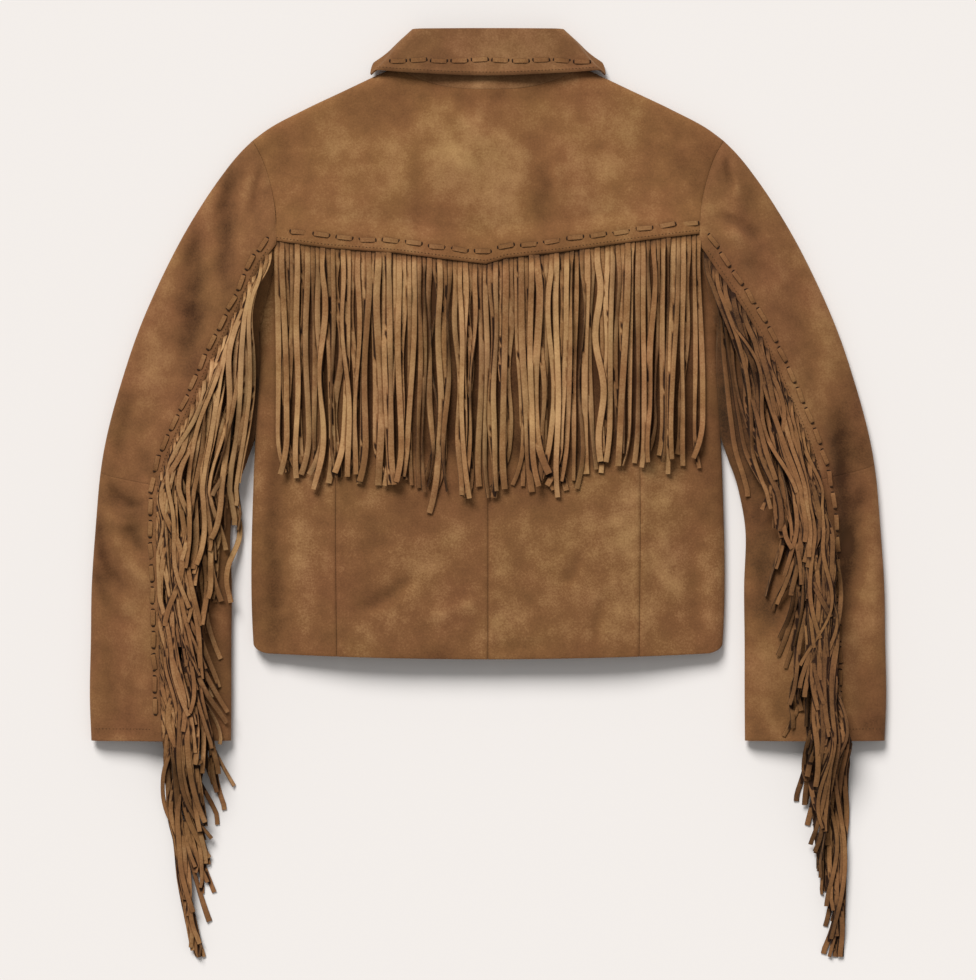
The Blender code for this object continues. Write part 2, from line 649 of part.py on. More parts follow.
def pile_support():
    """Height of what the sleeve fringe lies on, on a grid over half the jacket, kept smooth."""
    cell = PILE_CELL
    xs = np.arange(150.0, 410.0, cell)
    ys = np.arange(CUFF_Y, 380.0, cell)
    x, y = np.meshgrid(xs, ys, indexing="ij")
    inside = x < np.where(y < ARMPIT[1], side_fold_x(y), armhole_x(np.minimum(y, 347.0)))
    height = np.where(inside, upper_height(x, y), 0.0)
    k, turn = np.meshgrid(np.linspace(0, CUFF_RING, 500), np.linspace(0, 1, 300), indexing="ij")
    sleeve = sleeve_place(1, k, turn)
    i = np.clip(np.round((sleeve[..., 0] - xs[0]) / cell).astype(int), 0, len(xs) - 1)
    j = np.clip(np.round((sleeve[..., 1] - ys[0]) / cell).astype(int), 0, len(ys) - 1)
    np.maximum.at(height, (i, j), sleeve[..., 2])
    height = spread_by(height, 4, np.maximum)
    height = spread_by(height, 2, np.minimum)
    for _ in range(3):
        height = blurred(height)

    def at(px, py):
        py = max(py, ys[0])
        a = np.clip((px - xs[0]) / cell, 0, len(xs) - 1.001)
        b = np.clip((py - ys[0]) / cell, 0, len(ys) - 1.001)
        i, j = int(a), int(b)
        s, t = a - i, b - j
        return ((height[i, j] * (1 - s) + height[i + 1, j] * s) * (1 - t)
                + (height[i, j + 1] * (1 - s) + height[i + 1, j + 1] * s) * t)

    return at


def spread_by(height, times, pick):
    for _ in range(times):
        padded = np.pad(height, 1, mode="edge")
        rows = pick(pick(padded[:-2, 1:-1], padded[2:, 1:-1]), padded[1:-1, 1:-1])
        padded = np.pad(rows, 1, mode="edge")
        height = pick(pick(padded[1:-1, :-2], padded[1:-1, 2:]), rows)
    return height


def blurred(height):
    padded = np.pad(height, 1, mode="edge")
    rows = (padded[:-2, 1:-1] + 2 * padded[1:-1, 1:-1] + padded[2:, 1:-1]) / 4
    padded = np.pad(rows, 1, mode="edge")
    return (padded[1:-1, :-2] + 2 * padded[1:-1, 1:-1] + padded[1:-1, 2:]) / 4


def sleeve_fringe(side, word, support):
    """Strands from the sleeve's fringed seam, drifting together down the sleeve in layers."""
    drift = spline(PILE_DRIFT[word])
    half = STRAND_WIDTH / 2
    ks = np.linspace(0, CUFF_RING, 600)
    line = sleeve_place(side, ks, seam_turn(side, ks, ROOT_BELOW_SEAM))
    steps = np.concatenate([[0], np.cumsum(np.linalg.norm(np.diff(line[:, :2], axis=0), axis=1))])
    start, end = np.interp([FIRST_STRAND_RING, LAST_STRAND_RING], ks, steps)

    def along(count):
        return np.interp(np.linspace(start, end, count), steps, ks)

    def edge(k, beyond):
        where = sleeve_place(side, k, seam_turn(side, k, beyond))
        return [pair_at(*(p + np.array([0, 0, STRIP_CLEAR]))) for p in where]

    def base_at_station(x, y):
        fall = 1.0 - ease((CUFF_Y + 2.0 - y) / TAIL_RUN)
        return (support(abs(x), y) + STRAND_CLEAR) * fall + TIP_CLEAR * (1 - fall)

    def base(x, y, layer):
        n = int(np.clip(np.searchsorted(-np.array(STATIONS), -y), 1, len(STATIONS) - 1))
        share = (y - STATIONS[n]) / (STATIONS[n - 1] - STATIONS[n])
        low, high = base_at_station(x, STATIONS[n]), base_at_station(x, STATIONS[n - 1])
        return low * (1 - share) + high * share + layer * LAYER_PITCH

    cut = edge(along(SLEEVE_STRANDS + 1), ROOT_BELOW_SEAM)
    strands = []
    for i in range(SLEEVE_STRANDS):
        layer = PILE_LAYERS - 1 - i % PILE_LAYERS
        root = (np.array(cut[i][0]) + np.array(cut[i + 1][0])) / 2
        middle, tab = abs(root[0]) - TAB_LENGTH, root[1]
        length = SLEEVE_STRAND_LENGTH + waver(i, 4.0, 5.7)
        stop = max(tab - length, STATIONS[-1])
        places = [(middle - half, tab + half, middle + half, tab - half)]
        for y in [y for y in STATIONS if stop + 3.0 < y < tab - 4.0] + [stop]:
            x = middle + float(drift(y) - drift(tab))
            places.append((x - half, y, x + half, y))
        sections = []
        for ax, ay, bx, by in places:
            a = pair_at(side * ax, ay, base(ax, ay, layer))
            b = pair_at(side * bx, by, base(bx, by, layer))
            sections.append((a[0], a[1], b[0], b[1]))
        strands.append(sections)
    comb(f"sleeve_fringe_{word}", edge(along(STRIP_COLUMNS), -STRIP_DEPTH), cut, strands)


def fringes():
    yoke_fringe()
    support = pile_support()
    for side, word in SIDES:
        sleeve_fringe(side, word, support)


# ---------------------------------------------------------------- build

def clear_scene():
    for old in list(bpy.data.objects):
        bpy.data.objects.remove(old, do_unlink=True)


def make_suedes():
    made = {}
    for name, colour in SUEDES.items():
        material = bpy.data.materials.new(name)
        material.use_nodes = True
        shader = material.node_tree.nodes["Principled BSDF"]
        shader.inputs["Base Color"].default_value = (*colour, 1.0)
        shader.inputs["Roughness"].default_value = 0.9
        made[name] = material
    return made


clear_scene()
parts = bpy.data.collections.new(COLLECTION)
bpy.context.scene.collection.children.link(parts)
suede = make_suedes()
body()
sleeves()
collar()
fringes()
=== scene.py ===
import bpy
import numpy as np
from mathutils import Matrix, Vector


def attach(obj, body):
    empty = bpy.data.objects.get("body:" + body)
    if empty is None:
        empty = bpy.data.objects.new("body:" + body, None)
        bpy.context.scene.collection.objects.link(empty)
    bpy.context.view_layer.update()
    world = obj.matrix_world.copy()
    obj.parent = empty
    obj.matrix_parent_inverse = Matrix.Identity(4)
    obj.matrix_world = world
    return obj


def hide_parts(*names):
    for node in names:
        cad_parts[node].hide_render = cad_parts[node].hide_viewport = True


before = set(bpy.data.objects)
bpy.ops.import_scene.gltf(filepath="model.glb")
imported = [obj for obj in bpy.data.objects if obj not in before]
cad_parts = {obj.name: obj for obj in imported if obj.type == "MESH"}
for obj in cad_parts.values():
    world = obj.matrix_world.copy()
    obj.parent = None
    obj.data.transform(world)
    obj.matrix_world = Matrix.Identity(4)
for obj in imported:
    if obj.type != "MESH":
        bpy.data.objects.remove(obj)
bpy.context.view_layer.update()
bpy.ops.object.select_all(action="DESELECT")

# ================================================================ front panels
# The two fronts are split suede about 1 mm thick, drawn 1.5 mm thick, and lap at the centre. With
# the jacket laid on them they touch the floor. Side and shoulder seams join them to the backs.

MM = 0.001
WALL = 1.5
HALF_SEAM = 0.05
ARMHOLE_GAP = 0.1
ARMPIT_GAP = 0.3
ARMPIT_FADE = 14.0

# The rounded folds at the outline: heights of edge and crown, the crown's run in from the edge,
# the run over which mesh lines draw together there, and the first line's own step. BODY_RISE is
# the run from the fold up to the full loft.
FOLD_EDGE = 7.0
FOLD_CROWN = 14.0
FOLD_RUN = 13.0
FOLD_SPAN = 7.0
FIRST_STEP = 0.35
BODY_RISE = 120.0

FRONT_OVERLAP = 14.0
FRONT_LAYER = 1.9
FRONT_LAYER_FADE = 16.0
HALF_BODY = 225.0
HEM_Y = -161.2
HEM_HALF = 228.0
HEM_SIDE_RISE = 6.0
HEM_CORNER_X = 214.0
HEM_CORNER_RUN = 16.6
HEM_CORNER_RISE = 10.0
FRONT_NECK_Y = 372.0
FRONT_NECK_DEPTH = 47.0

# Points of the half outline as (x, y) from the frame's centre, in millimetres. The armhole's are
# (y, x), and the loft's are (y, height).
NECK_HALF = 91.0
SHOULDER_POINT = (231.3, 347.4)
ARMPIT = (225.4, 157.3)
SHOULDER_FOLD = [
    (91, 420), (120.5, 406.2), (141.1, 396.4), (182.3, 376.8), (217.6, 357.6), SHOULDER_POINT,
]
SLEEVE_FOLD = [
    SHOULDER_POINT, (244, 334.7), (257.7, 318), (278.3, 288.6), (301.8, 249.4), (324.4, 204.3),
    (344, 158.3),
]
SIDE_FOLD = [
    (224.7, 157.3), (224.3, 131.8), (227.6, 73), (230.3, 14.2), (230.6, -142.6), (229.5, -158),
]
ARMHOLE = [
    ARMPIT[::-1], (165, 224.8), (176, 222.4), (190, 217.6), (205, 212.8), (222, 209.2),
    (247.5, 206.8), (272.9, 207.9), (292.5, 210.7), (311.2, 215.2), (331.7, 222.6),
    SHOULDER_POINT[::-1],
]
BODY_LOFT = [(-170, 23), (-100, 25), (60, 28), (200, 30), (330, 28), (420, 24)]


def ease(t):
    t = np.clip(t, 0.0, 1.0)
    return t * t * (3.0 - 2.0 * t)


def bell(distance, width):
    return np.exp(-(distance / width) ** 2)


def spline(rows):
    """A smooth curve through (place, value) rows, straight beyond its ends."""
    rows = sorted(rows)
    places = np.array([row[0] for row in rows])
    values = np.array([row[1] for row in rows])
    slopes = np.gradient(values, places)

    def at(x):
        x = np.asarray(x, float)
        i = np.clip(np.searchsorted(places, x) - 1, 0, len(places) - 2)
        width = places[i + 1] - places[i]
        t = np.clip((x - places[i]) / width, 0.0, 1.0)
        inside = ((1 + 2 * t) * (1 - t) ** 2 * values[i] + t * (1 - t) ** 2 * width * slopes[i]
                  + t * t * (3 - 2 * t) * values[i + 1] + t * t * (t - 1) * width * slopes[i + 1])
        before = np.minimum(x - places[0], 0.0) * slopes[0]
        after = np.maximum(x - places[-1], 0.0) * slopes[-1]
        return inside + before + after

    return at


armhole_x = spline(ARMHOLE)
side_fold_x = spline([(y, x) for x, y in SIDE_FOLD])
body_loft = spline(BODY_LOFT)
shoulder_y = spline(SHOULDER_FOLD)


def hem_y(x):
    """The hem rises a little to the sides and turns up in a round corner at the side folds."""
    corner = np.clip((np.abs(x) - HEM_CORNER_X) / HEM_CORNER_RUN, 0.0, 1.0)
    return (HEM_Y + HEM_SIDE_RISE * (np.abs(x) / HEM_HALF) ** 2
            + HEM_CORNER_RISE * (1.0 - np.sqrt(1.0 - corner ** 2)))


def front_neck_y(x):
    return FRONT_NECK_Y + FRONT_NECK_DEPTH * (np.abs(x) / NECK_HALF) ** 2.2


def armhole_at(y):
    return armhole_x(np.minimum(y, SHOULDER_POINT[1]))


def body_edge_x(y):
    """Half width of a body panel: its side fold, and above the armpit the armhole seam."""
    gap = ARMHOLE_GAP + ARMPIT_GAP * (1 - ease((y - ARMPIT[1]) / ARMPIT_FADE))
    return np.where(y < ARMPIT[1], side_fold_x(y), armhole_at(y) - gap)


def quarter_round(d):
    """Height share of a rounded fold at distance d in from its edge."""
    return np.sqrt(1.0 - (1.0 - np.clip(d / FOLD_RUN, 0.0, 1.0)) ** 2)


def fold_step(q):
    """Distance in from a fold's edge for the path q along the cloth, dense at the fold."""
    return np.where(q < 2 * FOLD_SPAN, q * q / (4 * FOLD_SPAN), q - FOLD_SPAN)


def fold_path(share, width):
    """Path along the cloth for a share of its width in from a fold."""
    return FIRST_STEP + share * (width + FOLD_SPAN - FIRST_STEP)


def distance_to(line, x, y):
    """Shortest distance from each place to a line of points."""
    nearest = np.full(np.shape(x), 1e6)
    for (ax, ay), (bx, by) in zip(line[:-1], line[1:]):
        run, rise = bx - ax, by - ay
        t = np.clip(((x - ax) * run + (y - ay) * rise) / (run * run + rise * rise), 0.0, 1.0)
        nearest = np.minimum(nearest, np.hypot(x - ax - t * run, y - ay - t * rise))
    return nearest


def fine_line(row_x, row_y, start, stop, count):
    places = np.linspace(start, stop, count)
    return list(zip(row_x(places), row_y(places)))


sleeve_fold_x, sleeve_fold_y = (spline([(n, row[c]) for n, row in enumerate(SLEEVE_FOLD)])
                                for c in (0, 1))
top_fold = (fine_line(lambda x: x, shoulder_y, NECK_HALF, SHOULDER_POINT[0], 41)
            + fine_line(sleeve_fold_x, sleeve_fold_y, 0.0, 5.0, 36)[1:])
side_fold = fine_line(side_fold_x, lambda y: y, ARMPIT[1], -160.0, 30)


def body_fold_distance(x, y):
    """Distance in from the folds at the shoulder, the sleeve's top and the side."""
    half = np.abs(x)
    return np.minimum(distance_to(top_fold, half, y), distance_to(side_fold, half, y))


def stack(x, y, z):
    return np.stack(np.broadcast_arrays(x, y, z), axis=-1)


def folds(rows):
    """Soft troughs (depth below 0) and ridges, each on its own line and fading at its ends.

    A row is x0, y0, x1, y1, width, depth, and how far the line bows out at its middle.
    """
    def at(x, y):
        total = np.zeros(np.shape(x))
        for x0, y0, x1, y1, width, depth, bow in rows:
            run, rise = x1 - x0, y1 - y0
            length = np.hypot(run, rise)
            t = ((x - x0) * run + (y - y0) * rise) / length ** 2
            off = ((x - x0) * rise - (y - y0) * run) / length
            ends = ease((t + 0.25) / 0.5) * ease((1.25 - t) / 0.5)
            total += depth * ends * bell(off - bow * 4 * t * (1 - t), width)
        return total

    return at


def ripple(x, y):
    """The shallow unevenness of limp suede lying loose, in millimetres."""
    return (0.30 * np.sin(x / 27.0 + y / 61.0 + 0.4) * np.sin(y / 33.0 - x / 90.0)
            + 0.16 * np.sin(x / 9.5 - y / 21.0) * np.sin(y / 13.0 + x / 31.0 + 1.3))


FRONT_FOLDS = folds([
    (-190, 60, -150, -90, 11, 1.6, 6), (-120, 180, -70, 90, 9, 1.2, -5),
    (-60, -20, -50, -130, 8, 1.1, 3), (90, 250, 150, 150, 10, 1.5, 5),
    (130, 40, 180, -70, 12, 1.7, -6), (60, -60, 80, -140, 8, 1, 2),
])


def front_height(x, y):
    """Height of the body's lower layer, whose ridges stand a little off the floor."""
    edge = body_fold_distance(x, y)
    ridges = (FRONT_FOLDS(x, y) + 0.5 + ripple(x, y)) * ease((edge - 12.0) / 25.0)
    return FOLD_EDGE * (1.0 - quarter_round(edge)) + np.maximum(ridges, 0.0)


def front_place(side):
    """A front from its centre (a = 0) to its edge, and from hem to shoulder; x and y settle."""
    def place(a, b):
        x = side * HALF_BODY * a
        for _ in range(8):
            in_neck = np.abs(x) < NECK_HALF
            top = np.where(in_neck, front_neck_y(x) - HALF_SEAM, shoulder_y(np.abs(x)))
            y = top - fold_step(fold_path(1 - b, top - hem_y(x)))
            edge = body_edge_x(y)
            x = side * (edge - fold_step(fold_path(1 - a, edge + FRONT_OVERLAP)))
        low = front_height(x, y)
        if side > 0:
            low = low + FRONT_LAYER * (1.0 - ease((x - FRONT_OVERLAP - 2.0) / FRONT_LAYER_FADE))
        return stack(x, y, low)

    return place


def points_of(mesh):
    points = np.empty(len(mesh.vertices) * 3)
    mesh.vertices.foreach_get("co", points)
    return points.reshape(-1, 3)


def cloth(name, place, columns, rows, facing):
    """A flat grid whose points are moved to place(a, b), each from 0 to 1, then made a wall thick.

    facing is the sign of the finished face's way up, and the wall is added on the other side.
    """
    bpy.ops.mesh.primitive_grid_add(x_subdivisions=columns, y_subdivisions=rows, size=1.0)
    piece = bpy.context.object
    piece.name = name
    mesh = piece.data
    a, b, _ = points_of(mesh).T
    mesh.vertices.foreach_set("co", (place(a + 0.5, b + 0.5) * MM).ravel())
    mesh.update()
    ways = np.empty(len(mesh.polygons) * 3)
    mesh.polygons.foreach_get("normal", ways)
    if ways.reshape(-1, 3)[:, 2].sum() * facing < 0:
        mesh.flip_normals()
    thicken(piece)
    return piece


def thicken(piece):
    """Gives a sheet its wall, softens its cut edges and keeps it from sinking into the floor."""
    bpy.ops.object.select_all(action="DESELECT")
    piece.select_set(True)
    bpy.context.view_layer.objects.active = piece
    solidify = piece.modifiers.new("thickness", "SOLIDIFY")
    solidify.thickness = WALL * MM
    solidify.offset = -1.0
    bpy.ops.object.modifier_apply(modifier=solidify.name)
    bevel = piece.modifiers.new("worn edge", "BEVEL")
    bevel.width = 0.17 * WALL * MM
    bevel.segments = 2
    bevel.limit_method = "ANGLE"
    bevel.angle_limit = 1.0
    bpy.ops.object.modifier_apply(modifier=bevel.name)
    points = points_of(piece.data)
    points[:, 2] = np.maximum(points[:, 2], 0.0)
    piece.data.vertices.foreach_set("co", points.ravel())
    bpy.ops.object.shade_smooth()
    piece.select_set(False)


def linear(code):
    """A #rrggbb colour as the linear values that a shader takes."""
    parts = [int(code[i:i + 2], 16) / 255 for i in (1, 3, 5)]
    return [c / 12.92 if c <= 0.04045 else ((c + 0.055) / 1.055) ** 2.4 for c in parts] + [1.0]


def add_node(tree, kind, links=(), **settings):
    """One shader node, its settings and socket values, and what is linked into its sockets."""
    made = tree.nodes.new("ShaderNode" + kind)
    for key, value in settings.items():
        if hasattr(made, key):
            setattr(made, key, value)
        else:
            made.inputs[key.replace("_", " ")].default_value = value
    for source, socket in links:
        tree.links.new(source, made.inputs[socket])
    return made


# Suede is the napped flesh side of a hide, brushed: matt, with a faint pale sheen where the nap
# is raked. It has cloudy patches about 90 mm across, mottling about 20 mm across, a nap about 1 mm
# long, drawn nearly twice as coarse to show, and redder and yellower places about 50 mm across.
# Each has a row with its size in millimetres, its detail and its roughness.
SUEDE_NOISE = ((90.9, 2.5, 0.45), (20.83, 4.0, 0.55), (1.786, 4.0, 0.75), (52.6, 2.0, 0.5))
MOTTLE_WEIGHT = 0.44
RAMP_REACH = 0.42
SUEDE_SURFACE = {"IOR": 1.45, "Specular IOR Level": 0.25, "Sheen Weight": 0.22,
                 "Sheen Roughness": 0.45, "Sheen Tint": linear("#e2b98c")}


def suede(name, deep, body, pale, nap=0.35, cloudy=0.4, grainy=0.46):
    """A suede whose clouds, grain, painted light and shade, and tone run from deep through body to
    pale.
    """
    material = bpy.data.materials.new(name)
    material.use_nodes = True
    tree = material.node_tree
    shader = tree.nodes["Principled BSDF"]
    where = add_node(tree, "TexCoord").outputs["Object"]
    clouds, mottle, fibre, redness = (
        add_node(tree, "TexNoise", [(where, "Vector")], Scale=1 / (size * MM), Detail=detail,
                 Roughness=rough)
        for size, detail, rough in SUEDE_NOISE)
    clouds.inputs["Distortion"].default_value = 0.3
    mixed = add_node(tree, "Attribute", attribute_name="tone").outputs["Fac"]
    for noise, weight in ((clouds, cloudy), (mottle, MOTTLE_WEIGHT), (fibre, grainy)):
        mix = add_node(tree, "Math", [(noise.outputs["Fac"], 0), (mixed, 2)],
                       operation="MULTIPLY_ADD")
        mix.inputs[1].default_value = weight
        mixed = mix.outputs[0]
    ramp = add_node(tree, "ValToRGB", [(mixed, "Fac")])
    middle = (cloudy + MOTTLE_WEIGHT + grainy) / 2
    ends = ramp.color_ramp.elements
    ends[0].position, ends[0].color = middle - RAMP_REACH, linear(deep)
    ends[1].position, ends[1].color = middle + RAMP_REACH, linear(pale)
    ends.new(middle).color = linear(body)
    turn_hue = add_node(tree, "MapRange", [(redness.outputs["Fac"], "Value")],
                        From_Min=0.3, From_Max=0.7, To_Min=0.4955, To_Max=0.504)
    hue = add_node(tree, "HueSaturation", [(ramp.outputs["Color"], "Color"),
                                           (turn_hue.outputs["Result"], "Hue")])
    rough = add_node(tree, "MapRange", [(fibre.outputs["Fac"], "Value")], To_Min=0.82, To_Max=0.98)
    coarse = add_node(tree, "Bump", [(mottle.outputs["Fac"], "Height")], Strength=0.25,
                      Distance=0.9 * MM)
    fine = add_node(tree, "Bump", [(fibre.outputs["Fac"], "Height"),
                                   (coarse.outputs["Normal"], "Normal")],
                    Strength=nap, Distance=0.6 * MM)
    for source, socket in ((hue.outputs["Color"], "Base Color"),
                           (rough.outputs["Result"], "Roughness"),
                           (fine.outputs["Normal"], "Normal")):
        tree.links.new(source, shader.inputs[socket])
    for socket, value in SUEDE_SURFACE.items():
        shader.inputs[socket].default_value = value
    return material


def set_tone(mesh, values):
    mesh.attributes.new("tone", "FLOAT", "POINT").data.foreach_set("value", values)


def tone_by(piece, tone_at):
    """Writes how far each point is drawn darker or paler, painted shade and light too."""
    set_tone(piece.data, np.asarray(tone_at(*(points_of(piece.data).T / MM)), float))


def fit(piece, material, slot, *nodes):
    """Finishes a piece, ties it to the frame and lets it stand for its CAD nodes."""
    piece.data.materials.clear()
    piece.data.materials.append(material)
    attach(piece, "root")
    if nodes:
        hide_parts(*nodes)


front_suede = suede("brushed split suede, fronts", "#42260e", "#785130", "#a67d52")
for side, word in ((-1, "left"), (1, "right")):
    front = cloth(f"front_panel_{word}", front_place(side), 62, 150, -1)
    tone_by(front, lambda x, y, z: 0.0 * x)
    fit(front, front_suede, "suede_front", f"front_{word}")

# ================================================================ back panels
# Four panels make the back below the yoke: two centre backs joined at the centre seam, and a
# side back on each side of the long curved seams. The hem is turned under and glued flat.

BACK_SEAM = [(260, 151), (120, 147), (0, 149), (-170, 148)]
YOKE_SEAM = [
    (-212, 248.4), (-156.8, 240.6), (-89.2, 235.7), (-43.1, 229.8), (-2, 224.9), (17.6, 230.8),
    (72.5, 236.7), (132.3, 245.5), (178.4, 251.4), (212, 255.4),
]
LAP = 8.0
back_seam_x = spline(BACK_SEAM)


def yoke_seam_y(x):
    return np.interp(x, [row[0] for row in YOKE_SEAM], [row[1] for row in YOKE_SEAM])


BACK_FOLDS = folds([
    (47, 345, 56, 256, 9, -2.8, 2), (64, 330, 70, 262, 7, 1.1, 0),
    (-67, 318, -65, 252, 8, -1.8, 1), (-84, 322, -82, 262, 8, 0.8, 0),
    (-20, 384, 12, 352, 6, -1.2, 2), (-36, 372, -8, 348, 5, 0.7, -2),
    (-160, 330, -120, 292, 14, -1.4, 3), (150, 350, 178, 290, 15, -1.7, 4),
    (20, 306, 24, 250, 7, -0.8, 1), (104, 322, 110, 262, 9, -0.9, 1),
    (-209, 24, -206, -143, 8.5, -3.2, 2), (-188, 6, -185, -120, 9, 1.2, -2),
    (-126, -112, -75, -83, 7, -2.3, 3), (-60, -120, -10, -104, 9, 1.2, 2),
    (-64, -128, -58, -158, 7, -1.2, 1), (-130, -60, -100, -44, 8, -1, 2),
    (76, -87, 89, -60, 6, -1.8, 1), (113, -102, 104, -151, 6, -1.8, 1),
    (30, -60, 48, -130, 9, -1.3, 3), (196, -30, 204, -130, 9, -2, -2),
    (170, -20, 178, -100, 8, 0.9, 2), (4, -150, 60, -146, 6, -0.9, 1),
])


def upper_height(x, y):
    """Height of the body's upper layer over the floor, before its folds."""
    d = body_fold_distance(x, y)
    crown = (FOLD_CROWN - FOLD_EDGE) * quarter_round(d)
    return FOLD_EDGE + crown + (body_loft(y) - FOLD_CROWN) * ease(d / BODY_RISE)


def back_height(x, y):
    """The upper layer with its folds, and the low groove along the armhole."""
    inside = ease(body_fold_distance(x, y) / 24.0)
    groove = -0.6 * bell(armhole_at(y) - np.abs(x), 2.0) * (y > ARMPIT[1])
    return upper_height(x, y) + (BACK_FOLDS(x, y) + ripple(x, y)) * inside + groove


def seam_roll(distance):
    """Cloth turned down into a plain seam, over the allowance pressed open behind it."""
    return 0.3 * bell(distance - 4.5, 3.5) - 0.5 * bell(distance, 1.3)


def crowd(share):
    """Brings grid lines closer together towards both edges of a panel."""
    return 0.3 * share + 0.7 * (1 - np.cos(np.pi * share)) / 2


def back_point(x, y):
    half = np.abs(x)
    seams = seam_roll(half) + seam_roll(np.abs(half - back_seam_x(y)))
    return stack(x, y, back_height(x, y) + seams)


def back_y(x, b):
    """From the hem to the panel's top, which lies under the yoke by the lap's width."""
    return hem_y(x) * (1 - b) + (yoke_seam_y(x) + LAP) * b


def side_back_place(side):
    def place(a, b):
        x = side * (HALF_BODY - 76.0 * a)
        for _ in range(6):
            y = back_y(x, b)
            edge = body_edge_x(y)
            seam = back_seam_x(y) + HALF_SEAM
            path = fold_path(0.6 * a + 0.4 * np.sin(np.pi * a / 2), edge - seam)
            x = side * (edge - fold_step(path))
        return back_point(x, y)

    return place


def centre_back_place(side):
    def place(a, b):
        x = side * 150.0 * a
        for _ in range(4):
            y = back_y(x, b)
            x = side * (HALF_SEAM + crowd(a) * (back_seam_x(y) - 2 * HALF_SEAM))
        return back_point(x, y)

    return place


def spots(rows):
    """Soft patches, darker (below 0) or paler. Each table says which are painted shade."""
    def at(x, y):
        total = np.zeros(np.shape(x))
        for px, py, wide, high, amount in rows:
            total += amount * np.exp(-((x - px) / wide) ** 2 - ((y - py) / high) ** 2)
        return total

    return at


# The back's patches: the long dark ones beside the side folds and the broad one under the fringe
# at y 130 are painted shade, a dark band runs along the hem, and the rest are uneven tone.
BACK_SPOTS = spots([
    (-215, -60, 22, 130, -0.10), (0, -168, 260, 16, -0.08), (198, -71, 30, 26, 0.12),
    (-100, -60, 60, 34, 0.08), (70, -90, 80, 40, -0.02), (216, -20, 16, 120, -0.08),
    (-20, -130, 90, 20, 0.06), (0, 130, 230, 110, -0.10),
])


def back_tone(x, y, z):
    """Darker along the seams; painted shade in troughs and under the fringe, painted light on
    ridges.
    """
    half = np.abs(x)
    seams = bell(half, 1.6) + bell(half - back_seam_x(y), 1.6)
    # Painted shadow of the fringe that hangs over the panels' top.
    fringe_shade = ease((y - 25.0) / 25.0) * ease((212.0 - half) / 8.0)
    return BACK_SPOTS(x, y) - 0.07 * seams + 0.06 * BACK_FOLDS(x, y) - 0.30 * fringe_shade


# The back panels' hides are cloudier and coarser than the rest.
back_suede = suede("brushed split suede, back", "#42260e", "#7a5230", "#a98054", cloudy=0.48,
                   grainy=0.52)
backs = {}
for side, word in ((-1, "left"), (1, "right")):
    backs[f"side_{word}"] = cloth(f"side_back_panel_{word}", side_back_place(side), 40, 170, 1)
    backs[f"centre_{word}"] = cloth(f"centre_back_panel_{word}", centre_back_place(side),
                                    62, 170, 1)
    for kind, flat, area in (("side", (0.098, 0.424), 0.0334), ("centre", (0.151, 0.420), 0.0605)):
        panel = backs[f"{kind}_{word}"]
        tone_by(panel, back_tone)
        fit(panel, back_suede, "suede_back", f"{kind}_back_{word}")

# ================================================================ back yoke
# One shaped piece of suede over the shoulders. Its pointed lower edge laps over the back panels,
# is topstitched close to the cut edge, and is laced with a flat suede thong in running stitch.

# A lapped edge stands off by LAP_LIFT as far as LAP_FLAT, and comes down over LAP_FADE.
LAP_LIFT = 4.1
LAP_FLAT = 10.0
LAP_FADE = 24.0
LACE_ABOVE_YOKE = 11.5
LACE_PITCH = 22.5
LACE_LENGTH = 16.5
LACE_WIDTH = 5.0
LACE_THICK = 1.1
THREAD_PITCH = 3.4
THREAD_ABOVE_EDGE = 3.4
BACK_NECK_Y = 396.5
BACK_NECK_DEPTH = 22.5
YOKE_LACES = np.arange(-185.0, 200.0, LACE_PITCH)


def back_neck_y(x):
    return BACK_NECK_Y + BACK_NECK_DEPTH * (np.abs(x) / NECK_HALF) ** 2.5


def lap_lift(d):
    """How far a lapped edge stands off at distance d from the edge."""
    return LAP_LIFT * (1.0 - ease((d - LAP_FLAT) / LAP_FADE))


def yoke_height(x, y):
    """The yoke with its stood-off lower edge, pulled in a little along the lacing."""
    above = y - yoke_seam_y(x)
    pull = np.zeros(np.shape(x))
    for middle in YOKE_LACES:
        along = np.abs(x - middle)
        pull += bell(np.maximum(along - LACE_LENGTH / 2 + 2.0, 0.0), 2.6)
    line = bell(above - LACE_ABOVE_YOKE, 3.6)
    gathers = 0.14 * np.sin(x * 1.05 + 0.8 * np.sin(x / 7.0)) * bell(above - 7.0, 8.0)
    rolled = -0.7 * bell(above, 1.5)
    return back_height(x, y) + lap_lift(above) - 0.75 * pull * line + gathers + rolled


def yoke_place(a, b):
    x = (2 * a - 1) * 220.0
    for _ in range(7):
        in_neck = np.abs(x) < NECK_HALF
        top = np.where(in_neck, back_neck_y(x) - HALF_SEAM, shoulder_y(np.abs(x)))
        low = yoke_seam_y(x)
        share = 0.55 * (1 - b) + 0.45 * np.sin(np.pi * (1 - b) / 2)
        y = top - fold_step(fold_path(share, top - low))
        half = np.minimum(armhole_at(y), SHOULDER_POINT[0])
        x = (2 * a - 1) * (half - ARMHOLE_GAP)
    return stack(x, y, yoke_height(x, y))


# The yoke's patches: the narrow dark ones at x 54 and -66 lie in its troughs and are painted
# shade, a dark band runs along the neck seam, and the rest are uneven tone.
YOKE_SPOTS = spots([
    (160, 320, 70, 60, -0.07), (0, 340, 60, 50, 0.04), (-150, 320, 70, 50, -0.03),
    (-30, 330, 80, 50, 0.08), (54, 300, 13, 60, -0.20), (120, 340, 70, 50, 0.05),
    (-66, 290, 14, 46, -0.14), (0, 290, 40, 40, 0.08), (-30, 392, 110, 9, -0.12),
    (-90, 372, 30, 14, -0.08), (180, 300, 50, 60, -0.06), (-200, 350, 40, 40, -0.05),
])


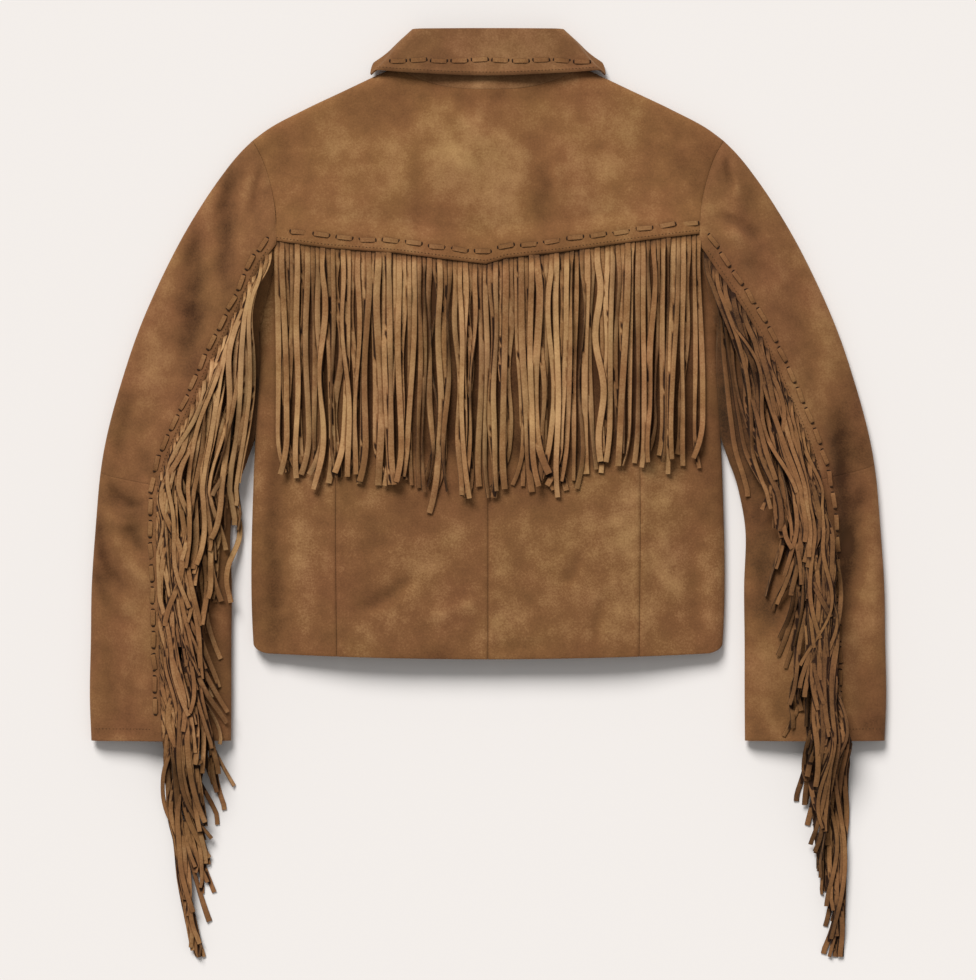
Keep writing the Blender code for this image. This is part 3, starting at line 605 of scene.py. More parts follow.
def yoke_tone(x, y, z):
    """Darker along the cut lower edge, and a little round the lacing as painted shade of its
    groove.
    """
    above = y - yoke_seam_y(x)
    return YOKE_SPOTS(x, y) - 0.22 * bell(above, 1.4) - 0.04 * bell(above - 12.0, 7.0)


yoke = cloth("yoke_panel", yoke_place, 190, 96, 1)
tone_by(yoke, yoke_tone)
# The yoke's suede is the palest of the panels.
yoke_suede = suede("brushed split suede, yoke", "#46290f", "#7e5531", "#ad8557")
fit(yoke, yoke_suede, "suede_yoke", "back_yoke")


def sized(x, y, z):
    """The primitive just added, scaled to so many millimetres."""
    made = bpy.context.object
    made.scale = (x * MM, y * MM, z * MM)
    bpy.ops.object.transform_apply(location=False, rotation=False, scale=True)
    return made


def model_thong():
    """One visible run of the flat thong, its ends going down the holes."""
    bpy.ops.mesh.primitive_cube_add(size=1.0)
    thong = sized(LACE_LENGTH, LACE_WIDTH, LACE_THICK)
    bpy.ops.object.mode_set(mode="EDIT")
    for cut in (-0.47, -0.43, -0.3, 0.3, 0.43, 0.47):
        bpy.ops.mesh.select_all(action="SELECT")
        bpy.ops.mesh.bisect(plane_co=(cut * LACE_LENGTH * MM, 0, 0), plane_no=(1, 0, 0))
    for cut in (-0.46, -0.40, 0.40, 0.46):
        bpy.ops.mesh.select_all(action="SELECT")
        bpy.ops.mesh.bisect(plane_co=(0, cut * LACE_WIDTH * MM, 0), plane_no=(0, 1, 0))
    bpy.ops.object.mode_set(mode="OBJECT")
    for vertex in thong.data.vertices:
        reach = min(abs(vertex.co.x) / (LACE_LENGTH / 2 * MM), 1.0)
        rim = abs(vertex.co.y) / (LACE_WIDTH / 2 * MM)
        vertex.co.z += (0.3 - 1.3 * reach ** 6 - 0.45 * (rim > 0.95)) * MM
        vertex.co.y *= 1.0 - 0.3 * reach ** 6
    return thong


def thong_tone(x, y, z):
    """Dark along the cut edges (raw edge and painted shade) and, as painted shade, where it goes
    down.
    """
    edge, end = np.abs(y) / (LACE_WIDTH / 2), np.abs(x) / (LACE_LENGTH / 2)
    return 0.02 - 0.34 * ease((edge - 0.78) / 0.14) - 0.5 * ease((end - 0.85) / 0.1)


def model_hole():
    """A short slit stretched open, drawn as a dark almond of painted shade beside the thong's end.
    """
    bpy.ops.mesh.primitive_cylinder_add(vertices=10, radius=1.0, depth=1.0)
    return sized(0.6, 1.7, 0.35)


def model_thread():
    """One topstitch of bonded thread, sunk a little in the nap."""
    bpy.ops.mesh.primitive_uv_sphere_add(segments=8, ring_count=5, radius=1.0)
    return sized(0.85, 0.42, 0.3)


UPWARDS = (0.0, 0.0, 1.0)


def copies(name, model, places, tone_at=None):
    """The model laid at each place: (point in mm, way it runs, turn in degrees)."""
    shape = points_of(model.data)
    faces = [tuple(face.vertices) for face in model.data.polygons]
    points, all_faces = [], []
    for n, (middle, along, turn) in enumerate(places):
        along = np.asarray(along, float) / np.linalg.norm(along)
        across = np.cross(UPWARDS, along)
        across /= np.linalg.norm(across)
        up = np.cross(along, across)
        angle = np.radians(turn)
        along, across = (along * np.cos(angle) + across * np.sin(angle),
                         across * np.cos(angle) - along * np.sin(angle))
        points.append(np.asarray(middle) * MM + shape[:, :1] * along + shape[:, 1:2] * across
                      + shape[:, 2:] * up)
        all_faces += [tuple(i + n * len(shape) for i in face) for face in faces]
    mesh = bpy.data.meshes.new(name)
    mesh.from_pydata(np.concatenate(points).tolist(), [], all_faces)
    made = bpy.data.objects.new(name, mesh)
    bpy.context.collection.objects.link(made)
    for face in mesh.polygons:
        face.use_smooth = True
    if tone_at:
        set_tone(mesh, np.tile(tone_at(*(shape.T / MM)), len(places)))
    return made


def lengths_along(line):
    return np.concatenate([[0], np.cumsum(np.linalg.norm(np.diff(line, axis=0), axis=1))])


def row_places(line, spacing, first, last, lift, jitter=0.0):
    """Places at even spacing along a line of points, from first to so far before its end."""
    steps = lengths_along(line)
    placed = []
    for n, s in enumerate(np.arange(first, steps[-1] - last, spacing)):
        here, low, high = (np.array([np.interp(t, steps, line[:, i]) for i in range(3)])
                           for t in (s, s - 2.0, s + 2.0))
        wobble = jitter * np.sin(2.4 * n + 0.6) * np.cos(1.1 * n)
        placed.append((here + np.array([0, 0, lift]), high - low, wobble))
    return placed


def hole_places(places):
    """A hole at each end of every run of thong."""
    made = []
    for middle, along, turn in places:
        reach = np.asarray(along) / np.linalg.norm(along) * (LACE_LENGTH / 2 + 0.1)
        made += [(middle + end * reach - np.array([0, 0, 0.25]), along, turn) for end in (-1, 1)]
    return made


thong_model = model_thong()
hole_model = model_hole()
thread_model = model_thread()
# A thong cut from the same hide, with a rougher nap and cut edges drawn dark: raw edges and
# painted shade.
thong_suede = suede("cut suede thong", "#301a09", "#7c5431", "#ab8255", nap=0.5)
# A hole is a dark disc of painted shade, nearly black brown, for its shaded raw inside.
hole_shadow = suede("stretched thong hole, painted shade", "#1d1008", "#26160b", "#2e1c10", nap=0.2)
# Matt bonded nylon thread, darker than the suede as painted shade of its holes: a fine dotted
# line.
thread_cord = suede("bonded nylon thread, painted hole shade", "#3a2513", "#4d331b", "#644626", nap=0.2)


def laced(part, places, slot, end=""):
    """Running stitches of thong at these places of a part, and their holes."""
    lacing = copies(f"{part}_lacing{end}", thong_model, places, thong_tone)
    holes = copies(f"{part}_lace_holes{end}", hole_model, hole_places(places))
    fit(lacing, thong_suede, slot)
    fit(holes, hole_shadow, slot)
    return lacing, holes


def topstitched(name, line, slot, clear):
    """A row of thread stitches along a line, so many millimetres clear of its ends."""
    stitch = copies(name, thread_model, row_places(line, THREAD_PITCH, clear, clear, 0.05))
    fit(stitch, thread_cord, slot)
    return stitch


yoke_lace_places = []
for n, x in enumerate(YOKE_LACES):
    y = float(yoke_seam_y(x)) + LACE_ABOVE_YOKE
    rise = float(yoke_seam_y(x + 4.0) - yoke_seam_y(x - 4.0)) / 8.0
    z = float(yoke_height(np.array([x]), np.array([y]))[0])
    yoke_lace_places.append((np.array([x, y + 0.8 * np.sin(1.7 * n), z + 0.6]), (1.0, rise, 0.0),
                             4.0 * np.sin(2.4 * n + 0.6)))
yoke_lacing, yoke_holes = laced("yoke", yoke_lace_places, "suede_yoke")
edge_x = np.linspace(-212.0, 212.0, 300)
edge_y = yoke_seam_y(edge_x) + THREAD_ABOVE_EDGE
yoke_stitch = topstitched("yoke_topstitch", stack(edge_x, edge_y, yoke_height(edge_x, edge_y)),
                          "suede_yoke", 3.0)

# ================================================================ back fringe
# One strip of suede set under the yoke's lapped edge and cut into 84 square-ended strands about
# 230 mm long. They hang side by side, bunch, twist and cross a little towards their tips.

STRAND_WIDTH = 5.6
STRAND_THICK = 1.0
STRAND_CROWN = 0.25
STRAND_STEP = 5.5
STRAND_SLOPE = 0.35
YOKE_STRANDS = 84
YOKE_STRAND_LENGTH = 231.0
YOKE_STRAND_HALF_SPREAD = 206.0
STRIP_HALF_WIDTH = 3.6
STRIP_RISE = 0.9
PILE_TOP = 42.0
PRESSED_AT_CUFF = 0.45
CUFF_Y = -241.6
# The tone's painted shade in a fringe: under other strands, between strands at the cut edges
# (which are darker raw too), and at the roots under the lap.
BURIED_SHADE = 0.26
EDGE_AND_GAP_SHADE = 0.38
ROOT_SHADE = 0.30
rng = np.random.default_rng(1871)


class Ground:
    """Height of what already lies there, on a grid of 1 mm squares over a part of the jacket."""

    def __init__(self, x0, x1, y0, y1):
        self.x0, self.y0 = x0, y0
        self.height = np.zeros((int(x1 - x0) + 1, int(y1 - y0) + 1))

    def cells(self, x, y):
        columns, rows = self.height.shape
        return (np.clip(np.round(x - self.x0).astype(int), 0, columns - 1),
                np.clip(np.round(y - self.y0).astype(int), 0, rows - 1))

    def take(self, pieces, side=1):
        """Lays finished pieces on the grid, the left side turned over, and closes small holes."""
        columns, rows = self.height.shape
        for piece in pieces:
            x, y, z = points_of(piece.data).T / MM * np.array([[side], [1.0], [1.0]])
            near = ((x > self.x0) & (y > self.y0) & (x < self.x0 + columns)
                    & (y < self.y0 + rows))
            self.cover(x[near], y[near], z[near])
        for axis in (0, 1, 0, 1):
            low, high = np.roll(self.height, 1, axis), np.roll(self.height, -1, axis)
            self.height = np.maximum(np.maximum(low, high), self.height)

    def under(self, x, y):
        return self.height[self.cells(x, y)]

    def cover(self, x, y, z):
        np.maximum.at(self.height, self.cells(x, y), z)


def lay_strand(ground, x, y, roll, clear, width, root, nestle=0.0):
    """Rests a strand on the ground along its way, bridging hollows, and adds it to the ground.

    root is the height it is sewn at, and nestle how far it settles between those below it. Gives
    the middle line and the half-width vector of each section.
    """
    path = np.stack([x, y], axis=1)
    run = np.gradient(path, axis=0)
    run /= np.linalg.norm(run, axis=1, keepdims=True)
    side = np.stack([-run[:, 1], run[:, 0]], axis=1)
    flat = np.cos(roll) * width / 2
    rise = np.abs(np.sin(roll)) * width / 2
    reach = np.linspace(-1.0, 1.0, 7)
    across = path[:, None, :] + side[:, None, :] * (flat[:, None] * reach * 0.75)[..., None]
    heights = ground.under(across[..., 0], across[..., 1])
    under = nestle * heights.mean(axis=1) + (1 - nestle) * heights.max(axis=1)
    high = under.copy()
    for shift in (1, 2, 3):
        drop = STRAND_SLOPE * shift * STRAND_STEP
        high[shift:] = np.maximum(high[shift:], under[:-shift] - drop)
        high[:-shift] = np.maximum(high[:-shift], under[shift:] - drop)
    smooth = np.convolve(np.pad(high, 2, mode="edge"), np.ones(5) / 5, mode="valid")
    middle = np.maximum(smooth, under) + clear + rise + STRAND_THICK / 2
    steps = np.arange(len(x))
    middle = root + (middle - root) * ease(STRAND_STEP * steps / 9.0)
    half = stack(side[:, 0] * flat, side[:, 1] * flat, np.sin(roll) * width / 2)
    fine = np.linspace(0, len(x) - 1, 5 * len(x))
    for share in reach:
        edges = (x + half[:, 0] * share, y + half[:, 1] * share,
                 middle + half[:, 2] * share + STRAND_THICK / 2)
        ground.cover(*(np.interp(fine, steps, edge) for edge in edges))
    return stack(x, y, middle), half


def model_strand(steps):
    """A flat strand four cells wide, the outer ones narrow, with a cell for each step along."""
    bpy.ops.mesh.primitive_grid_add(x_subdivisions=4, y_subdivisions=steps, size=1.0)
    strand = bpy.context.object
    for point in strand.data.vertices:
        point.co.x = np.copysign(0.5 * (2 * abs(point.co.x)) ** 0.3, point.co.x)
    return strand


def fringe(name, strands, strip, ground, side=1, pale=0.04, paler_up=0.12):
    """Every strand is a copy of one model strand laid on its own way; the strip joins their roots.

    They are darker, as painted shade, at their roots under the lap and where others lie on them,
    and along their cut edges, as raw edges and painted shade between strands. The pile is pressed
    down under its greatest height and settles past the cuffs. pale is how much paler its strands
    are drawn, and paler_up how much more so towards its top.
    """
    models = {}
    pieces = []
    for middle, half in strands + [strip]:
        steps = len(middle) - 1
        if steps not in models:
            models[steps] = model_strand(steps)
        mesh = models[steps].data.copy()
        shape = points_of(mesh)
        row = np.round((shape[:, 1] + 0.5) * steps).astype(int)
        across = shape[:, 0] * 2.0
        laid = middle[row] + half[row] * across[:, None]
        laid[:, 2] += STRAND_CROWN * (1 - across ** 4)
        laid[:, 1] += rng.normal(0, 0.9) * across * (row == 0)
        buried = np.clip(ground.under(laid[:, 0], laid[:, 1]) - laid[:, 2] - 1.0, 0.0, 6.0)
        # Painted shade under other strands, along the cut edges between strands and under the lap.
        tone = rng.normal(pale, 0.05) - BURIED_SHADE * buried
        tone -= EDGE_AND_GAP_SHADE * (np.abs(across) > 0.95)
        tone += paler_up * (ease((laid[:, 1] + 120.0) / 240.0) - 0.5)
        tone -= ROOT_SHADE * (1 - ease((row * STRAND_STEP - 4.0) / 10.0))
        over_top = np.maximum(laid[:, 2] - 0.7 * PILE_TOP, 0.0)
        laid[:, 2] -= over_top - 0.3 * PILE_TOP * np.tanh(over_top / (0.3 * PILE_TOP))
        laid[:, 2] -= (laid[:, 2] - 0.6) * PRESSED_AT_CUFF * ease((CUFF_Y - laid[:, 1]) / 80.0)
        laid[:, 0] *= side
        mesh.vertices.foreach_set("co", (laid * MM).ravel())
        set_tone(mesh, tone)
        piece = bpy.data.objects.new(name, mesh)
        bpy.context.collection.objects.link(piece)
        pieces.append(piece)
    for model in models.values():
        bpy.data.objects.remove(model)
    bpy.ops.object.select_all(action="DESELECT")
    for piece in pieces:
        piece.select_set(True)
    bpy.context.view_layer.objects.active = pieces[0]
    bpy.ops.object.join()
    made = bpy.context.object
    made.name = name
    solidify = made.modifiers.new("thickness", "SOLIDIFY")
    solidify.thickness = STRAND_THICK * MM
    solidify.offset = 0.0
    bpy.ops.object.modifier_apply(modifier=solidify.name)
    bpy.ops.object.shade_smooth_by_angle(angle=0.8)
    made.select_set(False)
    return made


def wander(amount, s):
    """A slow side to side wave of random size along a strand."""
    return rng.normal(0, amount) * np.sin(2 * np.pi * (s * rng.uniform(0.8, 2.2) + rng.random()))


def twist(s, turns, shares):
    """How far a strand is rolled from lying flat, along its length."""
    turned = rng.choice([-1.0, 1.0]) * rng.choice(turns, p=shares)
    return turned * (0.75 + 0.4 * np.sin(2 * np.pi * (s * rng.uniform(0.5, 1.9) + rng.random())))


def yoke_fringe():
    """Strands in a shuffled order, bunched in twos to fives and a little shorter at the sides."""
    ground = Ground(-250.0, 250.0, -60.0, 300.0)
    ground.take(backs.values())
    roots = np.linspace(-YOKE_STRAND_HALF_SPREAD, YOKE_STRAND_HALF_SPREAD, YOKE_STRANDS)
    bunch_starts = [0]
    while bunch_starts[-1] < YOKE_STRANDS:
        bunch_starts.append(bunch_starts[-1] + int(rng.integers(2, 6)))
    bunch = np.searchsorted(bunch_starts, np.arange(YOKE_STRANDS), side="right") - 1
    centre = np.array([roots[bunch == b].mean() for b in bunch])
    lean = rng.normal(0, 2.4, bunch.max() + 1)[bunch]
    strands = [None] * YOKE_STRANDS
    for i in rng.permutation(YOKE_STRANDS):
        top = float(yoke_seam_y(roots[i])) + 3.5
        length = (YOKE_STRAND_LENGTH + rng.normal(0, 5.0) + 12.0 * (i % 23 == 9)
                  - 12.0 * ease((roots[i] - 60.0) / 60.0) - 5.0 * ease((-60.0 - roots[i]) / 60.0))
        s = np.linspace(0.0, 1.0, int(length / STRAND_STEP) + 1)
        pull = (centre[i] - roots[i]) * 0.24 * ease((s - 0.05) / 0.6)
        own = rng.normal(0, 3.4) * ease((s - 0.3) / 0.7)
        curl = rng.normal(0, 4.5) * np.clip((s - 0.82) / 0.18, 0, 1) ** 2
        x = roots[i] + pull + own + lean[i] * s + wander(1.7, s) * ease(s * 5) + curl
        roll = twist(s, [0.15, 0.45, 0.75, 1.2], [0.26, 0.34, 0.26, 0.14]) * ease(s / 0.10)
        width = (STRAND_WIDTH + rng.normal(0, 0.6)) * (0.88 + 0.12 * ease(s * 8))
        root = float(back_point(roots[i], top)[2]) + STRIP_RISE
        strands[i] = lay_strand(ground, x, top - length * s, roll, 0.2 + 0.8 * ease(s * 6), width,
                                root)
    along = np.linspace(-YOKE_STRAND_HALF_SPREAD - 2.0, YOKE_STRAND_HALF_SPREAD + 2.0, 121)
    depth = yoke_seam_y(along) + 4.5
    height = back_point(along, depth)[..., 2] + STRIP_RISE
    strip = (stack(along, depth, height), np.tile([0.0, STRIP_HALF_WIDTH, 0.0], (len(along), 1)))
    return fringe("back_fringe", strands, strip, ground)


# The strands show the flesh side: paler and livelier than the panels, dark as painted shade where
# they part.
fringe_suede = suede("cut suede fringe, flesh side out", "#2a1608", "#855c37", "#bd9566",
                     nap=0.3)
back_fringe = yoke_fringe()
fit(back_fringe, fringe_suede, "suede_fringe", "yoke_fringe")

# ================================================================ sleeves
# Each sleeve is a two-piece sleeve: a top sleeve cut across at the elbow, and an under sleeve.
# The fringe hangs from their back seam, which is lapped, topstitched and laced like the yoke.

SLEEVE_RISE = 72.0
ELBOW_RING = 9.0
CUFF_RING = 14.0
RING_GAP = 0.002
FIRST_RING_RUN = 13.0
ARMHOLE_RING = 0.006
FRONT_SEAM_TURN = 1.62
# Rings run from the armhole (0) to the cuff (14), a row each: the outer and the inner fold, the
# loft between them, how much of the armhole's bow it keeps, and the fringed seam's share of the
# way from the outer to the inner fold, left and right.
RING_COLUMNS = ("out_x", "out_y", "in_x", "in_y", "loft", "bow", "left", "right")
SLEEVE_RINGS = [
    (231.3, 347.4, 225, 157.3, 31, 1.00, 0.540, 0.546),
    (244, 334.7, 224.2, 151.4, 31, 0.85, 0.552, 0.562),
    (257.7, 318, 223.7, 144.6, 31, 0.65, 0.572, 0.580),
    (278.3, 288.6, 223.5, 133.8, 30.5, 0.42, 0.612, 0.583),
    (301.8, 249.4, 223.9, 119.1, 30, 0.22, 0.625, 0.568),
    (324.4, 204.3, 225, 100.5, 29, 0.10, 0.601, 0.542),
    (344, 158.3, 226.4, 79.9, 28, 0.03, 0.572, 0.517),
    (360.6, 108.3, 228.6, 56.4, 27, 0.00, 0.530, 0.476),
    (373.4, 61.3, 236.4, 32.8, 26, 0.00, 0.486, 0.447),
    (380.7, 20.1, 245.4, 6.4, 25, 0.00, 0.462, 0.433),
    (385.1, -29.9, 252.8, -36.8, 24, 0.00, 0.488, 0.422),
    (389.1, -88.7, 251.4, -90.7, 23, 0.00, 0.511, 0.425),
    (390, -142.6, 251.9, -143.6, 22, 0.00, 0.526, 0.420),
    (391, -196.5, 251.9, -196.5, 21, 0.00, 0.538, 0.420),
    (389.5, CUFF_Y, 252.2, CUFF_Y, 20, 0.00, 0.545, 0.416),
]
ring_curve = {name: spline([(k, row[i]) for k, row in enumerate(SLEEVE_RINGS)])
              for i, name in enumerate(RING_COLUMNS)}

SLEEVE_FOLDS = {-1: folds([
    (-255, 318, -256, 205, 10, -3, 3), (-272, 300, -276, 215, 9, 1.4, 2),
    (-286, 262, -298, 95, 13, -3.4, -4), (-316, 210, -332, 90, 14, 1.6, 4),
    (-350, 90, -362, 40, 10, -2, 3), (-338, 40, -322, 8, 8, -2.4, 2),
    (-372, 8, -342, -12, 6, -3.8, 4), (-378, -16, -346, -30, 6, 2.6, 4),
    (-384, -30, -360, -92, 7, -4.2, 5), (-366, -34, -340, -84, 8, 2.6, 3),
    (-350, -26, -334, -60, 6, -3, 3), (-386, -70, -356, -128, 7, -2.6, 5),
    (-340, -158, -352, -232, 9, -2.2, 2), (-372, -150, -366, -226, 9, -1.8, -3),
    (-360, -168, -336, -190, 7, 1.4, 3), (-268, -96, -256, -120, 6, -2, 2),
    (-268, -140, -258, -225, 7, -2, 2), (-330, -96, -350, -130, 8, -1.4, 3),
    (-222, 318, -228, 280, 4, -1.8, 1), (-232, 314, -238, 276, 5, 1.2, 1),
]), 1: folds([
    (340, 80, 352, -110, 10, -4, -3), (366, 60, 370, 22, 9, -1, 2), (370, 4, 344, -56, 8, -3, -3),
    (360, -20, 352, -70, 7, 1.8, 3), (376, -30, 366, -118, 8, -1.6, 3),
    (256, 310, 262, 200, 10, -2.2, -3), (244, 300, 240, 240, 7, 1.2, 1),
    (300, 232, 322, 110, 13, -2.2, 5), (330, 160, 352, 60, 12, 1.8, 4),
    (284, 290, 300, 240, 11, -1.2, 2), (268, -64, 282, -130, 8, -2.4, 3),
    (364, -150, 372, -230, 9, -2, 2), (270, -150, 276, -232, 8, 1.4, 2),
    (258, -10, 290, -52, 8, -2.2, 3), (356, -178, 362, -232, 7, 1.2, 1),
    (290, -190, 296, -236, 7, -1.6, 1), (234, 332, 238, 302, 3.5, -2.4, 1),
    (242, 330, 246, 296, 5, 1.8, 1), (226, 272, 262, 254, 5, -2.4, -3),
    (232, 256, 268, 236, 6, 1.4, -3), (250, 226, 282, 212, 6, -1.6, -2),
])}


def ring_width(k):
    return np.hypot(ring_curve["out_x"](k) - ring_curve["in_x"](k),
                    ring_curve["out_y"](k) - ring_curve["in_y"](k))


def sleeve_plan(k, t):
    """Where ring k lies in plan, as x and y, at the share t from its outer to its inner fold."""
    x = ring_curve["out_x"](k) * (1 - t) + ring_curve["in_x"](k) * t
    y = ring_curve["out_y"](k) * (1 - t) + ring_curve["in_y"](k) * t
    seam_y = SHOULDER_POINT[1] * (1 - t) + ARMPIT[1] * t
    chord = SHOULDER_POINT[0] * (1 - t) + ARMPIT[0] * t
    return x + (armhole_x(seam_y) - chord) * ring_curve["bow"](k), y


def turn_share(turn):
    return (1 - np.cos(np.pi * turn)) / 2


def seam_share(side, k):
    return ring_curve["left" if side < 0 else "right"](k)


def sleeve_point(side, k, turn):
    """Sleeve surface: turn 0 is the outer fold, 1 the inner fold, and 0 to 1 the upper layer."""
    t = turn_share(turn)
    upper = np.sin(np.pi * turn) >= 0
    x, y = sleeve_plan(k, t)
    out, into = ring_width(k) * t, ring_width(k) * (1 - t)
    edge = quarter_round(np.minimum(out, into))
    rise = ring_curve["loft"](k) - FOLD_CROWN
    rise = rise * ease(out / SLEEVE_RISE) * ease(into / SLEEVE_RISE)
    own_up = FOLD_EDGE + (FOLD_CROWN - FOLD_EDGE) * edge + rise
    own_low = FOLD_EDGE * (1 - edge)
    blend = ease(k / 3.5)
    up = upper_height(x, y) * (1 - blend) + own_up * blend
    low = (FOLD_EDGE * (1.0 - quarter_round(body_fold_distance(x, y))) * (1 - blend)
           + own_low * blend)
    inside = ease((np.minimum(out, into) - 4.0) / 18.0)
    off_body = ease(k / 0.6)
    shape = (SLEEVE_FOLDS[side](side * x, y) + 1.3 * ripple(side * x, y) * off_body) * inside
    from_armhole = k * FIRST_RING_RUN
    top = up + shape - 0.6 * bell(from_armhole, 2.0) + 0.8 * bell(from_armhole - 7.0, 5.0) * inside
    bottom = low + np.maximum(0.4 * shape, 0.0) * off_body
    return stack(side * x, y, np.where(upper, top, bottom))


def seam_slant(side, k):
    """The sine of the angle at which ring k crosses the fringed seam."""
    share = seam_share(side, k)
    x0, y0 = sleeve_plan(k - 0.1, seam_share(side, k - 0.1))
    x1, y1 = sleeve_plan(k + 0.1, seam_share(side, k + 0.1))
    ring_x, ring_y = (end - start for start, end in zip(sleeve_plan(k, share - 0.05),
                                                        sleeve_plan(k, share + 0.05)))
    turned = np.abs(ring_x * (y1 - y0) - ring_y * (x1 - x0))
    return turned / (np.hypot(ring_x, ring_y) * np.hypot(x1 - x0, y1 - y0))


def seam_turn(side, k, beyond=0.0):
    """The fringed seam's turn at ring k, moved by so many millimetres towards the inner fold."""
    share = seam_share(side, k) + beyond / (ring_width(k) * seam_slant(side, k))
    return np.arccos(1 - 2 * np.clip(share, 0.001, 0.999)) / np.pi


def seam_offset(side, k, turn):
    """Millimetres from the fringed seam towards the outer fold, square to the seam."""
    return (seam_share(side, k) - turn_share(turn)) * ring_width(k) * seam_slant(side, k)


LACE_FROM_SEAM = {-1: 9.5, 1: 12.0}
SLEEVE_LACE_PITCH = 21.7
CUFF_HEM_RING = CUFF_RING - 0.27
# How far the elbow seam lies from its ring, in rings, at the outer fold and the fringed seam.
ELBOW_SLANT = {-1: (-0.05, 0.14), 1: (-0.24, 0.0)}


def top_sleeve_point(side, k, turn):
    """The top sleeve's surface, with its stood-off edge along the fringed seam."""
    point = sleeve_point(side, k, turn)
    off = seam_offset(side, k, turn)
    edge = lap_lift(off) - 0.7 * bell(off, 1.5) - 0.45 * bell(off - LACE_FROM_SEAM[side], 3.2)
    return point + stack(0.0 * off, 0.0 * off, np.where(turn > 0.05, edge, 0.0))


def top_sleeve_place(side, start, end):
    """The part of the top sleeve between two rings, its elbow edge slanting across the sleeve."""
    at_fold, at_seam = ELBOW_SLANT[side]

    def place(a, b):
        k = start + (end - start) * (1 - b)
        share = 0.5 * a + 0.5 * (1 - np.cos(np.pi * a / 2))
        first = seam_turn(side, k)
        turn = first + (FRONT_SEAM_TURN - 2.0 - first) * share
        slant = at_fold + (at_seam - at_fold) * np.clip(turn / first, 0.0, 1.0)
        k = k + slant * np.where(end < CUFF_RING, 1 - b, b) ** 2
        turn = turn + (seam_turn(side, k) - first) * (1 - share)
        return top_sleeve_point(side, k, turn)

    return place


def under_sleeve_place(side):
    """From the lap under the fringed seam, round the inner fold, to the front seam below."""
    def place(a, b):
        k = ARMHOLE_RING + (CUFF_RING - ARMHOLE_RING) * (1 - b)
        first, last = seam_turn(side, k, -LAP), FRONT_SEAM_TURN - 0.003
        return sleeve_point(side, k, first + (last - first) * a)

    return place


# The sleeves' dark patches are mostly painted shade: darkest beside the body's side (x about 230
# to 250), and along the deeper troughs. The pale and faint ones are uneven tone.
SLEEVE_SPOTS = {-1: spots([
    (-255, 260, 12, 70, -0.14), (-290, 185, 15, 90, -0.16), (-340, 60, 40, 60, -0.04),
    (-365, -60, 30, 60, -0.10), (-350, -190, 40, 40, -0.05), (-310, 290, 40, 60, 0.06),
    (-384, -20, 12, 160, -0.08), (-345, -140, 20, 60, 0.09), (-330, 150, 24, 60, 0.03),
    (-345, -20, 16, 20, -0.14), (-362, -230, 60, 10, -0.08), (-250, 40, 20, 90, -0.16),
    (-230, 110, 9, 80, -0.30),
]), 1: spots([
    (343, 20, 10, 60, -0.16), (372, 44, 22, 60, -0.07), (352, -50, 15, 56, -0.26),
    (350, 72, 16, 44, -0.15), (300, 230, 60, 60, 0.06), (374, -70, 12, 70, 0.14),
    (290, -180, 30, 60, 0.04), (384, -180, 14, 80, -0.05), (268, -60, 26, 70, -0.16),
    (340, 140, 30, 60, 0.05), (356, -140, 22, 50, 0.08), (250, 60, 22, 90, -0.22),
    (362, -230, 60, 10, -0.08), (366, 100, 12, 60, -0.06), (229, 125, 9, 70, -0.30),
    (240, 76, 12, 30, -0.10),
])}
# The sleeves' suede is evener than the back's; the under sleeves' copy is darker as painted shade.
sleeve_suede = suede("brushed split suede, sleeves", "#3c220c", "#795130", "#a67d51")
under_suede_shaded = suede("brushed split suede, under sleeves in painted shade", "#2f1d0b", "#754e2d", "#a0774c")
SLEEVE_WORDS = {-1: "left", 1: "right"}
sleeves = {}
for side, word in SLEEVE_WORDS.items():
    upper = cloth(f"top_sleeve_panel_{word}",
                  top_sleeve_place(side, ARMHOLE_RING, ELBOW_RING - RING_GAP), 88, 150, 1)
    lower = cloth(f"lower_sleeve_panel_{word}",
                  top_sleeve_place(side, ELBOW_RING + RING_GAP, CUFF_RING), 76, 96, 1)
    under = cloth(f"under_sleeve_panel_{word}", under_sleeve_place(side), 72, 160, -1)
    for piece, finish, slot, node in (
            (upper, sleeve_suede, "suede_sleeve", f"top_sleeve_upper_{word}"),
            (lower, sleeve_suede, "suede_sleeve", f"top_sleeve_lower_{word}"),
            (under, under_suede_shaded, "suede_under_sleeve", f"under_sleeve_{word}")):
        # Patches, and the folds' troughs darkened as painted shade and ridges paled as painted
        # light.
        tone_by(piece, lambda x, y, z: SLEEVE_SPOTS[side](x, y) + 0.045 * SLEEVE_FOLDS[side](x, y))
        fit(piece, finish, slot, node)
    sleeves[word] = (upper, lower, under)


def sleeve_sewing(side, word):
    """Lacing, its holes and the topstitch along the fringed seam, and the cuff's hem stitch."""
    k = np.linspace(0.0, CUFF_RING, 900)
    lace_line = top_sleeve_point(side, k, seam_turn(side, k, -LACE_FROM_SEAM[side]))
    near = (k > 0.8) & (k < CUFF_RING - 0.2)
    places = row_places(lace_line[near], SLEEVE_LACE_PITCH, 9.0, 8.0, 0.8, 8.0)
    lacing, holes = laced("sleeve", places, "suede_sleeve", f"_{word}")
    edge = top_sleeve_point(side, k, seam_turn(side, k, -THREAD_ABOVE_EDGE))
    thread = topstitched(f"sleeve_topstitch_{word}", edge[near], "suede_sleeve", 3.0)
    cuff = top_sleeve_point(side, np.full(200, CUFF_HEM_RING),
                            np.linspace(0.12, float(seam_turn(side, CUFF_RING, -14.0)), 200))
    hem = topstitched(f"cuff_topstitch_{word}", cuff, "suede_sleeve", 1.0)
    return lacing, holes, thread, hem


sleeve_trims = {word: sleeve_sewing(side, word) for side, word in SLEEVE_WORDS.items()}

